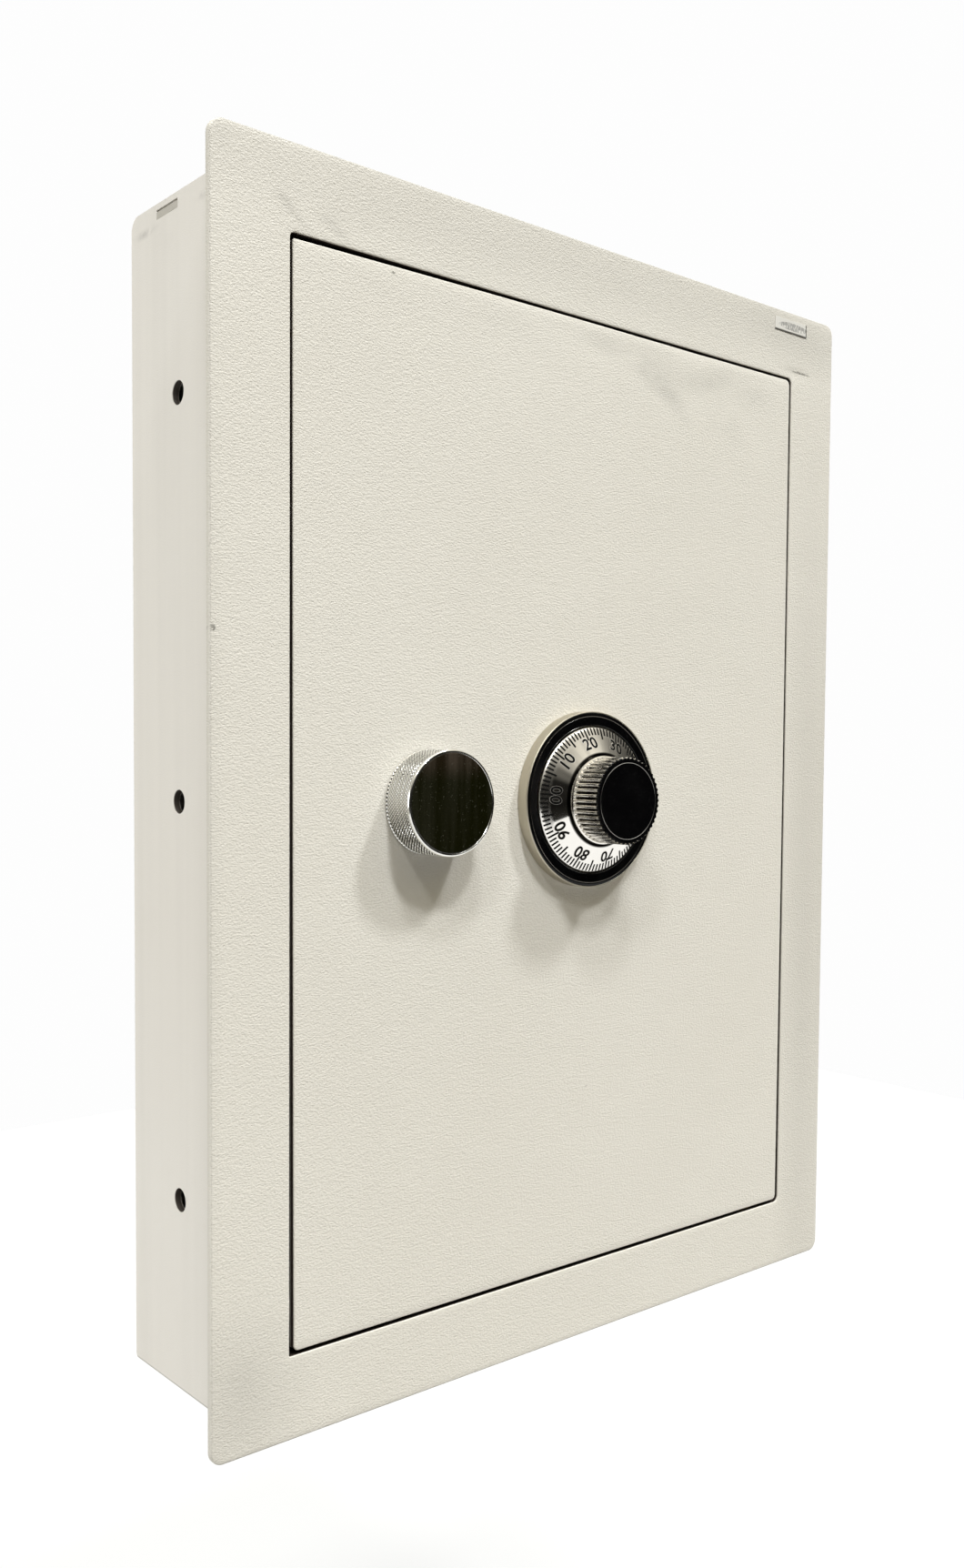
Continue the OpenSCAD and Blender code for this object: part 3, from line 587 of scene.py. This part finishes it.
def gloss_black(name):
    """Glossy black with faint dust and smears."""
    material, net, shader, coord = start_material(name, (0.008, 0.008, 0.009), roughness=0.16)
    shader.inputs["Specular IOR Level"].default_value = 0.22
    dust = net.ramp(net.noise(coord, 700.0, detail=3.0), [(0.60, 0.0), (0.8, 1.0)])
    net.link(net.blend(net.times(dust, 0.10), (0.0015, 0.0015, 0.0018, 1), (0.06, 0.06, 0.06, 1)),
             shader.inputs["Base Color"])
    smear = net.noise(coord, 80.0, detail=2.0)
    net.link(net.ramp(smear, [(0.3, 0.10), (0.7, 0.26)]), shader.inputs["Roughness"])
    return material


def black_fill():
    """Dull black ink."""
    material, net, shader, coord = start_material("black_fill", (0.01, 0.01, 0.01), roughness=0.6)
    shader.inputs["Specular IOR Level"].default_value = 0.06
    worn = net.noise(coord, 500.0, detail=2.0)
    ink = net.blend(worn, (0.001, 0.001, 0.001, 1), (0.008, 0.008, 0.007, 1))
    net.link(ink, shader.inputs["Base Color"])
    return material


def label_paper():
    """White label with plain grey dashes that say nothing, and a painted shadow along its lower and
    right edges.
    """
    material, net, shader, coord = start_material("label_paper", (0.78, 0.77, 0.74), roughness=0.55)
    centre, size = centre_of("label") / MM, size_of("label") / MM
    row = net.spot(coord, centre.x + 2.0, centre.z, 26.0, 4.4, core=0.9)
    dashes = net.noise(coord, 1500.0, detail=0.0, stretch=(1, 1, 0.35))
    ink = net.times(row, net.ramp(dashes, [(0.40, 0.0), (0.50, 1.0)]), 0.62)
    fibre = net.noise(coord, 600.0, detail=3.0)
    paper = net.blend(fibre, (0.80, 0.785, 0.745, 1), (0.745, 0.73, 0.69, 1))
    color = net.blend(ink, paper, (0.16, 0.16, 0.16, 1))
    axes = net.axes(coord)
    # Painted shadow of the label's edge, along its lower and right sides.
    low, right = centre.z - size.z / 2, centre.x + size.x / 2
    rim = net.math("MAXIMUM", net.between(axes["Z"], low + 0.9, low + 0.5),
                   net.between(axes["X"], right - 0.9, right - 0.5))
    color = net.blend(net.times(rim, 0.9), color, (0.03, 0.028, 0.024, 1))
    net.link(color, shader.inputs["Base Color"])
    return material


# ---- Mesh building ----

def make_piece(name, shape, material, body, replaced=(), crease=32):
    """A closed mesh from vertices, in metres, and faces, sharp only at edges over crease degrees."""
    vertices, faces = shape
    mesh = bpy.data.meshes.new(name)
    mesh.from_pydata(vertices, [], faces)
    tidy = bmesh.new()
    tidy.from_mesh(mesh)
    bmesh.ops.remove_doubles(tidy, verts=tidy.verts, dist=1e-7)
    bmesh.ops.recalc_face_normals(tidy, faces=tidy.faces)
    tidy.to_mesh(mesh)
    tidy.free()
    mesh.shade_smooth()
    mesh.set_sharp_from_angle(angle=math.radians(crease))
    mesh.materials.append(material)
    piece = bpy.data.objects.new(name, mesh)
    scene.collection.objects.link(piece)
    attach(piece, body)
    if replaced:
        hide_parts(*replaced)


def front_point(axis_x, angle, radius, height):
    """A place from its angle clockwise from the top and its height above the door, in mm."""
    x, z = axis_x + radius * math.sin(angle), radius * math.cos(angle)
    return x * MM, (FRONT - height) * MM, z * MM


# Mesh cells round the turned pieces.
RING_CELLS, DIAL_CELLS, DISC_CELLS = 160, 200, 128
KNURL_CELLS, RIB_CELLS = 6, 12                    # for each knurl groove and for each rib


def lathe(axis_x, profile, segments, shape=None):
    """Vertices and faces of a closed profile of (radius, height) turned about an axis along Y.

    A profile point at radius 0 closes the shape on the axis. shape(angle, radius, height) may move a
    point, for ribs and knurls, and returns the new radius and height.
    """
    vertices, faces, rings = [], [], []
    for radius, height in profile:
        if radius == 0:
            rings.append([len(vertices)])
            vertices.append(front_point(axis_x, 0, 0, height))
            continue
        ring = []
        for k in range(segments):
            angle = TURN * k / segments
            r, h = shape(angle, radius, height) if shape else (radius, height)
            ring.append(len(vertices))
            vertices.append(front_point(axis_x, angle, r, h))
        rings.append(ring)
    for a, b in zip(rings, rings[1:] + rings[:1]):
        for k in range(segments):
            n = (k + 1) % segments
            if len(a) > 1 and len(b) > 1:
                faces.append((a[k], a[n], b[n], b[k]))
            elif len(a) > 1:
                faces.append((a[k], a[n], b[0]))
            elif len(b) > 1:
                faces.append((a[0], b[n], b[k]))
    return vertices, faces


def rect_ring(box, radii, inset, per_side, per_corner):
    """Points (x, z) round a rectangle with round corners, clockwise from the top left, in mm.

    box is (left, right, low, high); radii are those of the corners at the top right, bottom right,
    bottom left and top left. inset moves the outline inwards.
    """
    left, right = box[0] + inset, box[1] - inset
    low, high = box[2] + inset, box[3] - inset
    radii = [max(radius - inset, 0.05) for radius in radii]
    corners = [(right, high, -1, -1), (right, low, -1, 1), (left, low, 1, 1), (left, high, 1, -1)]
    centres = [(x + sx * r, z + sz * r) for (x, z, sx, sz), r in zip(corners, radii)]
    points = []
    for k, (cx, cz) in enumerate(centres):
        px, pz = centres[k - 1]
        begin, end = math.radians(90 * k), math.radians(90 * (k + 1))
        ax, az = px + radii[k - 1] * math.sin(begin), pz + radii[k - 1] * math.cos(begin)
        bx, bz = cx + radii[k] * math.sin(begin), cz + radii[k] * math.cos(begin)
        count = per_side[k % 2]
        for i in range(count):
            points.append((ax + (bx - ax) * i / count, az + (bz - az) * i / count))
        for i in range(per_corner):
            a = begin + (end - begin) * i / per_corner
            points.append((cx + radii[k] * math.sin(a), cz + radii[k] * math.cos(a)))
    return points


def rect_shell(rings, per_side, per_corner, closed, dent=None):
    """Vertices and faces through rings of (box, radii, inset, y), in mm.

    A closed shell joins the last ring to the first; an open one is capped at both ends.
    """
    vertices, faces = [], []
    count = 2 * sum(per_side) + 4 * per_corner
    for box, radii, inset, y in rings:
        for x, z in rect_ring(box, radii, inset, per_side, per_corner):
            sunk = dent(x, z) if dent and y < FRONT + 1 else 0
            vertices.append((x * MM, (y + sunk) * MM, z * MM))
    pairs = list(range(len(rings) - 1)) + ([len(rings) - 1] if closed else [])
    for k in pairs:
        a, b = k * count, ((k + 1) % len(rings)) * count
        for i in range(count):
            n = (i + 1) % count
            faces.append((a + i, a + n, b + n, b + i))
    if not closed:
        faces.append(tuple(range(count)))
        last = (len(rings) - 1) * count
        faces.append(tuple(range(last, last + count)))
    return vertices, faces


def round_edge(outline, y, bend, inward, towards, steps=4):
    """Rings of a quarter-round edge of radius bend, from the side wall to the face at y.

    outline is (box, radii). inward is 1 where the metal lies inside it and -1 where it lies outside;
    towards is 1 where the metal lies behind the face and -1 where it lies in front of it.
    """
    rings = []
    for k in range(steps + 1):
        a = math.pi / 2 * k / steps
        inset, rise = bend * (1 - math.cos(a)) * inward, towards * bend * (1 - math.sin(a))
        rings.append((*outline, inset, y + rise))
    return rings


def step_rings(outer, inner, y, count):
    """Rings on the flat at y from one (box, radii, inset) to another, ends left out."""
    rings = []
    for k in range(1, count):
        t = k / count
        box = [a + (b - a) * t for a, b in zip(outer[0], inner[0])]
        radii = [a + (b - a) * t for a, b in zip(outer[1], inner[1])]
        rings.append((box, radii, outer[2] + (inner[2] - outer[2]) * t, y))
    return rings


def front_box(node):
    """A node's outline seen from the front: left, right, low and high, in mm."""
    low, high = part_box(node)
    return [low.x / MM, high.x / MM, low.z / MM, high.z / MM]


# Shallow dents in the front: place, length and width in millimetres, angle, depth.
FLANGE_DENTS = [(164, 234.4, 34, 5, 0, 0.40), (-158, -210, 7, 12, 0, -0.35)]
DOOR_DENTS = [(55, 214, 60, 22, -40, 0.30), (96, 214, 70, 24, 12, 0.24), (14, 221, 60, 14, -4, 0.20),
              (120, 205, 44, 26, -30, 0.16), (80, 229, 40, 9, 0, 0.30)]


def dented(dents):
    """A function that gives how deep the sheet is pushed in at a place on the front, in mm."""
    def depth(x, z):
        total = 0.0
        for cx, cz, length, width, angle, sink in dents:
            a = math.radians(angle)
            u = ((x - cx) * math.cos(a) + (z - cz) * math.sin(a)) / (length / 2)
            v = ((z - cz) * math.cos(a) - (x - cx) * math.sin(a)) / (width / 2)
            total += sink * math.exp(-1.6 * (u * u + v * v))
        return total
    return depth


# ---- Front flange and door plate ----

# Corner radii: top right, bottom right, bottom left and top left.
FLANGE_RADII = [5.6, 6.0, 5.6, 6.6]
OPENING_RADII = [3.2, 3.2, 1.0, 2.4]
DOOR_RADII = [3.0, 2.4, 2.2, 0.9]
FLANGE_CELLS, DOOR_CELLS = (110, 150), (90, 130)  # mesh cells along the top and along the side
CORNER_CELLS = 8
FLANGE_RINGS, DOOR_RINGS = 17, 44                 # steps across the front of each
BACK_BEND, BACK_CELLS = 0.3, 2                    # radius and steps of the edges at the back
DOOR_CORE = [-6, 18, -60, 60]                     # where the rings across the door end
# How the door hangs, in mm: how far each edge is moved, and the upper left corner bent down.
LEFT_EDGE_LOW, LEFT_EDGE_HIGH, RIGHT_EDGE = 0.9, -0.1, 0.65
LOWER_EDGE, UPPER_EDGE = -0.4, 0.3
CORNER_DROOP = 0.95


def build_flange():
    half_w, half_h = jamb_opening()
    outer = (front_box("front_flange"), FLANGE_RADII)
    inner = ([-half_w, half_w, -half_h, half_h], OPENING_RADII)
    soft, lip = 0.8, 0.35
    rings = round_edge(outer, FRONT, soft, 1, 1)
    rings += step_rings((*outer, soft), (*inner, -lip), FRONT, FLANGE_RINGS)
    rings += reversed(round_edge(inner, FRONT, lip, -1, 1))
    rings += round_edge(inner, 0, BACK_BEND, -1, -1, BACK_CELLS)
    rings += reversed(round_edge(outer, 0, BACK_BEND, 1, -1, BACK_CELLS))
    shell = rect_shell(rings, FLANGE_CELLS, CORNER_CELLS, True, dented(FLANGE_DENTS))
    coat = powder_coat("front_paint", PAINT, PAINT_SHADE, FLANGE_SHADE_AND_DIRT, FLANGE_SMUDGES_AND_SHADE, FLANGE_CHIPS_AND_CREASE_SHADE,
                       gap=True, edge_of="front_flange")
    make_piece("flange_plate", shell, coat, "cabinet", ["front_flange"])


def jamb_opening():
    """Half width and half height of the opening, from the frame bars around it, in mm."""
    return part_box("jamb_right")[0].x / MM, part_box("jamb_top")[0].z / MM


def worn_outline(box, x, y, z):
    """The door as it hangs: its upper left corner bent down a little, its edges not quite parallel."""
    left, right, low, high = [side * MM for side in box]
    across, up = (x - left) / (right - left), (z - low) / (high - low)
    across, up = min(max(across, 0.0), 1.0), min(max(up, 0.0), 1.0)
    bend = max(0.0, 1 - across / 0.45) ** 1.4 * up ** 3
    left_edge = LEFT_EDGE_LOW * (1 - up) ** 1.5 + LEFT_EDGE_HIGH * up
    right_edge = RIGHT_EDGE * max(0.0, 1 - ((up - 0.7) / 0.7) ** 2)
    x += (left_edge * (1 - across) + right_edge * across) * MM
    z += (LOWER_EDGE * (1 - up) + UPPER_EDGE * up - CORNER_DROOP * bend) * MM
    return x, y, z


def build_door():
    outline = (front_box("door_plate"), DOOR_RADII)
    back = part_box("door_plate")[1].y / MM
    soft = 0.6
    core = (DOOR_CORE, [3] * 4, 0)
    rings = [(*core, back)]
    rings += reversed(step_rings((*outline, BACK_BEND), core, back, 4))
    rings += reversed(round_edge(outline, back, BACK_BEND, 1, -1, BACK_CELLS))
    rings += round_edge(outline, FRONT, soft, 1, 1)
    rings += step_rings((*outline, soft), core, FRONT, DOOR_RINGS)
    rings += [(*core, FRONT)]
    vertices, faces = rect_shell(rings, DOOR_CELLS, CORNER_CELLS, False, dented(DOOR_DENTS))
    vertices = [worn_outline(outline[0], *place) for place in vertices]
    coat = powder_coat("door_paint", PAINT, PAINT_SHADE, DOOR_SHADES, DOOR_SMUDGES, DOOR_SPECKS,
                       gap=True)
    make_piece("door_skin", (vertices, faces), coat, "door", ["door_plate"])


# ---- Round handle ----

KNURL_STARTS = 92
KNURL_DEPTH = 0.62
KNURL_REACH = (0.7, 16.8)                         # heights above the door where it begins and ends
KNURL_SLOPE = 0.85                                # sideways travel of a groove per unit of height
KNURL_FADE = 0.5                                  # height over which the grooves run out at each end
KNURL_ROWS = 56


def build_handle():
    axis = centre_of("knob_body").x / MM
    radius = size_of("knob_body").x / 2 / MM
    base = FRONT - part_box("knob_body")[1].y / MM
    top = top_of("knob_body")
    knurl_low, knurl_high = KNURL_REACH
    pitch = TURN * radius / KNURL_STARTS

    def knurl(angle, r, h):
        """Two sets of slanting grooves that cross and leave small diamonds."""
        if r < radius - 0.01 or h < knurl_low or h > knurl_high:
            return r, h
        along = angle * radius
        cuts = []
        for sign in (1, -1):
            place = ((along + sign * h * KNURL_SLOPE) / pitch) % 1.0
            cuts.append(abs(2 * place - 1))
        fade = min(1.0, (h - knurl_low) / KNURL_FADE, (knurl_high - h) / KNURL_FADE)
        ridge = max(cuts[0], cuts[1])
        return r - KNURL_DEPTH * fade * ridge ** 1.3, h

    side = [(radius, knurl_low + (knurl_high - knurl_low) * k / KNURL_ROWS)
            for k in range(KNURL_ROWS + 1)]
    rim, face = radius - 0.12, radius - 1.5
    profile = [(0, base), (radius - 0.7, base), (radius - 0.3, base + 0.25), *side,
               (rim, top - 0.75), (rim - 0.08, top - 0.35), (rim - 0.35, top - 0.08), (rim - 0.7, top),
               (face + 0.25, top), (face, top - 0.3), (0, top - 0.3)]
    grip = lathe(axis, profile, KNURL_STARTS * KNURL_CELLS, knurl)
    chrome = grooved_metal("knob_chrome", (0.86, 0.855, 0.82), axis, (radius - 0.20, radius - 0.42),
                           KNURL_REACH, (0.38, 0.97))
    make_piece("knurled_handle", grip, chrome, "handle", ["knob_body"], crease=40)
    disc = [(0, top - 0.5), (face - 0.02, top - 0.5), (face - 0.02, top - 0.12),
            (face - 0.2, top - 0.02), (face - 0.4, top - 0.02), (face - 0.6, top - 0.02),
            (0, top - 0.02)]
    disc = lathe(axis, disc, DISC_CELLS)
    make_piece("handle_face", disc, knob_mirror(), "handle", ["knob_face"])


# ---- Dial ----

TOP_TICK, TOP_NUMBER = 20, 2                      # tick and number nearest the top, counted from 0
DIAL_TURN = math.radians(-12.7)                   # where they stand, clockwise from the top
DIAL_NUMBERS = 10
NUMBER_HEIGHT = 5.9
NUMBER_RADIUS = 28.0
NUMBER_SQUASH = 0.86                              # how much lower the digits are drawn
GLYPH_HEIGHT = 0.70                               # of a digit, in parts of the font's size
TICKS = 100
TICK_LONG, TICK_SHORT = (5.4, 0.46), (3.4, 0.43)  # length and half width
TICK_STEPS = 6
TICK_BAND = 30.2                                  # radius where the band with the divisions begins
RING_BORE = 36.0
GRIP_RADIUS = 20.8
GRIP_RIBS = 48
GRIP_ROWS = 14
RIB_DEPTH = 1.1
CAP_THICK = 0.6
HUB_RADIUS = 22.4
INK_LIFT, INK_THICK = 0.03, 0.05
# Digits and the paler outline under them: how much bolder, how high on the slope, how thick.
DIGITS, DIGIT_EDGES = (0.17, 0.045, INK_THICK), (0.34, 0.01, 0.03)


def dial_slope(dial_r, ring_h, hub_h):
    """Radius and height of the dial's outer skin: a round rim, then a flare up to the hub."""
    rim = [(dial_r, ring_h - 0.3), (dial_r - 0.25, ring_h + 0.2), (dial_r - 1.0, ring_h + 0.8)]
    steps = 14
    start_r, start_h = rim[-1]
    for k in range(1, steps + 1):
        t = k / steps
        rise = (hub_h - start_h) * (0.94 * t + 0.06 * t * t)
        rim.append((start_r - (start_r - HUB_RADIUS) * t, start_h + rise))
    return rim


def height_on(slope, radius):
    """Height of the dial's skin at a radius."""
    for (r0, h0), (r1, h1) in zip(slope, slope[1:]):
        if r1 <= radius <= r0:
            return h0 + (h1 - h0) * (r0 - radius) / (r0 - r1)
    return slope[-1][1] if radius < slope[-1][0] else slope[0][1]


def build_dial_ring(axis):
    outer = size_of("dial_ring_body").x / 2 / MM
    bore, face_edge = RING_BORE, outer - 0.7
    top = top_of("dial_ring_body")
    sunk = top - 0.45
    body = [(6.5, 0.05), (outer - 0.2, 0.05), (outer, 0.3), (outer, top - 0.9),
            (outer - 0.1, top - 0.5), (outer - 0.35, top - 0.2), (face_edge + 0.1, top - 0.2),
            (face_edge, top - 0.35), (face_edge, sunk - 0.6), (bore, sunk - 0.6), (bore, 2.0),
            (6.5, 2.0)]
    satin = metal("ring_satin", (0.52, 0.485, 0.40), 0.42, grain=0.14, dirt=0.12)
    make_piece("dial_ring", lathe(axis, body, RING_CELLS), satin, "door",
               ["dial_ring_body"])
    line = (bore + face_edge) / 2 + 1.3
    face = [(bore, sunk - 0.58), (face_edge - 0.03, sunk - 0.58), (face_edge - 0.03, top - 0.42),
            (face_edge - 0.25, top - 0.3), (line + 0.22, top - 0.3), (line, top - 0.46),
            (line - 0.22, top - 0.3), (bore + 0.3, top - 0.3), (bore, top - 0.5)]
    make_piece("dial_ring_gloss", lathe(axis, face, RING_CELLS), gloss_black("ring_black"), "door",
               ["dial_ring_face"])
    edge = metal("ring_line", (0.17, 0.16, 0.14), 0.26, grain=0.14, dirt=0.12)
    wire = [(line - 0.16, top - 0.46), (line + 0.16, top - 0.46), (line + 0.14, top - 0.29),
            (line, top - 0.24), (line - 0.14, top - 0.29)]
    make_piece("dial_ring_line", lathe(axis, wire, DIAL_CELLS), edge, "door")


def build_ticks(axis, slope):
    """A hundred inked lines from the rim inward, a long one at every fifth."""
    vertices, faces = [], []
    rim = slope[2][0] + 0.55
    foot, crown = INK_LIFT, INK_LIFT + INK_THICK
    for k in range(TICKS):
        angle = DIAL_TURN + TURN * (k - TOP_TICK) / TICKS
        length, half = TICK_LONG if k % 5 == 0 else TICK_SHORT
        first = len(vertices)
        for i in range(TICK_STEPS + 1):
            radius = rim - length * i / TICK_STEPS
            height = height_on(slope, radius)
            for side, lift in ((-1, foot), (1, foot), (1, crown), (-1, crown)):
                vertices.append(front_point(axis, angle + side * half / radius, radius, height + lift))
        for i in range(TICK_STEPS):
            a = first + 4 * i
            for j in range(4):
                n = (j + 1) % 4
                faces.append((a + j, a + n, a + 4 + n, a + 4 + j))
        last = first + 4 * TICK_STEPS
        faces += [tuple(range(first, first + 4)), tuple(range(last, last + 4))]
    make_piece("dial_ticks", (vertices, faces), black_fill(), "dial")


def flat_number(text, swell):
    """The glyphs of a number, made bolder by swell, as a thin closed mesh, centred, in mm."""
    curve = bpy.data.curves.new("number", "FONT")
    curve.body = text
    curve.size = NUMBER_HEIGHT / GLYPH_HEIGHT
    curve.align_x = "CENTER"
    curve.extrude = 0.5
    curve.resolution_u = 4
    curve.space_character = 1.08
    curve.offset = swell
    holder = bpy.data.objects.new("number", curve)
    scene.collection.objects.link(holder)
    shape = bpy.data.meshes.new_from_object(holder.evaluated_get(bpy.context.evaluated_depsgraph_get()))
    cut = bmesh.new()
    cut.from_mesh(shape)
    bmesh.ops.remove_doubles(cut, verts=cut.verts, dist=1e-5)
    bmesh.ops.triangulate(cut, faces=cut.faces)
    vertices = [tuple(v.co) for v in cut.verts]
    faces = [tuple(v.index for v in f.verts) for f in cut.faces]
    cut.free()
    bpy.data.objects.remove(holder)
    return vertices, faces


def build_numbers(name, axis, slope, swell, lift, thick, material, slot):
    """The tens with their tops outwards, laid on the dial's slope."""
    vertices, faces = [], []
    for k in range(DIAL_NUMBERS):
        middle = DIAL_TURN + TURN * (k - TOP_NUMBER) / DIAL_NUMBERS
        flat, triangles = flat_number(f"{10 * k:02d}", swell)
        first = len(vertices)
        for u, v, w in flat:
            up = v - NUMBER_HEIGHT / 2
            radius = NUMBER_RADIUS + up * NUMBER_SQUASH
            angle = middle + u / radius
            height = height_on(slope, radius) + lift + (thick if w > 0 else 0)
            vertices.append(front_point(axis, angle, radius, height))
        faces += [tuple(first + i for i in face) for face in triangles]
    make_piece(name, (vertices, faces), material, "dial")


def build_dial():
    axis = centre_of("dial_plate").x / MM
    build_dial_ring(axis)
    dial_r = size_of("dial_plate").x / 2 / MM
    ring_h, hub_h = top_of("dial_ring_body"), top_of("dial_plate")
    slope = dial_slope(dial_r, ring_h, hub_h)
    hub = slope[-1][0]
    skin = [(3.9, 2.7), (8, 2.7), (8, hub_h - 1.6), (hub - 1, hub_h - 1.6), (dial_r - 2, ring_h - 1.5),
            (dial_r - 0.2, ring_h - 1.5), (dial_r, ring_h - 1.3), *slope, (hub - 0.5, hub_h - 0.35),
            (hub - 1.0, hub_h - 0.35), (3.9, hub_h - 0.35)]
    make_piece("dial_skin", lathe(axis, skin, DIAL_CELLS), dial_metal(axis), "dial",
               ["dial_plate"])
    build_ticks(axis, slope)
    halo = metal("number_edge", (0.80, 0.78, 0.73), 0.36, grain=0.10, dirt=0.10)
    build_numbers("number_edges", axis, slope, *DIGIT_EDGES, halo, "dial_chrome")
    build_numbers("dial_numbers", axis, slope, *DIGITS, black_fill(), "cap_black")
    build_grip(axis, hub_h)


def build_grip(axis, hub_h):
    top = top_of("dial_knob")
    cap_low = top - CAP_THICK
    rib_foot = hub_h + 1.9

    def ribs(angle, r, h):
        """Rounded ribs along the grip, fading into the smooth bead at its foot."""
        if r < GRIP_RADIUS - 0.6 or h < rib_foot:
            return r, h
        fade = min(1.0, (h - hub_h - 1.9) / 0.6)
        wave = 0.5 - 0.5 * math.cos(GRIP_RIBS * angle)
        return r - RIB_DEPTH * fade * wave ** 1.5, h

    low = hub_h + 2.0
    side = [(GRIP_RADIUS, low + (cap_low - low) * k / GRIP_ROWS) for k in range(GRIP_ROWS + 1)]
    profile = [(0, hub_h - 0.3), (20.9, hub_h - 0.3), (21.3, hub_h + 0.1), (21.45, hub_h + 0.7),
               (21.3, hub_h + 1.3), (20.7, hub_h + 1.6), (GRIP_RADIUS, hub_h + 1.7), *side,
               (GRIP_RADIUS - 1.2, cap_low), (0, cap_low)]
    grip = lathe(axis, profile, GRIP_RIBS * RIB_CELLS, ribs)
    bright = grooved_metal("grip_chrome", (0.92, 0.89, 0.83), axis,
                           (GRIP_RADIUS - 0.45, GRIP_RADIUS - 0.85), (rib_foot, top), (0.95, 0.98))
    make_piece("dial_grip", grip, bright, "dial", ["dial_knob"])

    line = 0.87 * GRIP_RADIUS
    cap = [(0, cap_low + 0.03), (GRIP_RADIUS - 0.1, cap_low + 0.03), (GRIP_RADIUS, cap_low + 0.3),
           (GRIP_RADIUS, top - 0.35), (GRIP_RADIUS - 0.3, top - 0.08), (GRIP_RADIUS - 0.9, top),
           (line + 0.2, top), (line + 0.1, top - 0.2), (line - 0.1, top - 0.2), (line - 0.2, top),
           (0, top)]
    cap = lathe(axis, cap, GRIP_RIBS * RIB_CELLS, ribs)
    make_piece("grip_cap", cap, gloss_black("cap_black"), "dial", ["dial_cap"])
    wire = [(line - 0.12, top - 0.19), (line + 0.12, top - 0.19), (line + 0.10, top - 0.02),
            (line, top + 0.03), (line - 0.10, top - 0.02)]
    satin = metal("cap_line", (0.50, 0.49, 0.46), 0.30, grain=0.06, dirt=0.12)
    make_piece("cap_line", lathe(axis, wire, DIAL_CELLS), satin, "dial")


# ---- Carried-over CAD nodes ----

def dress(name, material):
    mesh = nodes[name].data
    mesh.materials.clear()
    mesh.materials.append(material)


def dress_frame():
    """Gives every CAD node a material by its slot, those that a visual piece replaces included."""
    side = powder_coat("body_paint", SIDE_PAINT, SIDE_SHADE, smudges=SIDE_SMUDGES, peel=0.25, side=True)
    inner = powder_coat("inner_paint", SIDE_PAINT, SIDE_SHADE, peel=0.3)
    steel = metal("plated_steel", (0.62, 0.62, 0.60), 0.34, grain=0.16, scale=380.0,
                  stretch=(1, 1, 0.06))
    screw = metal("fastener_steel", (0.50, 0.50, 0.49), 0.38, grain=0.12)
    hard = metal("hardened_steel", (0.12, 0.125, 0.14), 0.45, grain=0.14)
    brass = metal("brass", (0.66, 0.48, 0.20), 0.30, grain=0.12, scale=420.0)
    zinc = metal("zinc_casting", (0.42, 0.41, 0.39), 0.50, grain=0.10, scale=600.0)
    # Painted shade: the frame bars behind the door are near black, so the gap round the door reads dark.
    gap_shade_paint = powder_coat("frame_primer", (0.030, 0.024, 0.021), (0.022, 0.018, 0.016), peel=0.2)
    slots = {"body_paint": side, "inner_paint": inner, "plated_steel": steel, "fastener_steel": screw,
             "hardened_steel": hard, "brass": brass, "zinc_casting": zinc, "label_paper": label_paper(),
             "frame_primer": gap_shade_paint, "front_paint": side, "knob_chrome": steel, "knob_mirror": steel,
             "ring_satin": steel, "ring_black": hard, "dial_chrome": steel, "cap_black": hard}
    for part in frame["record"]["subparts"]:
        dress(part["node"], slots[part["material_slot"]])
    dress("top_panel", powder_coat("top_paint", TOP_PAINT, TOP_SHADE, peel=0.25))


make_camera()
make_world()
make_floor()
for lamp_name, (direction, power, width) in LAMPS.items():
    make_lamp(lamp_name, direction, power, width)
build_flange()
build_door()
build_handle()
build_dial()
dress_frame()
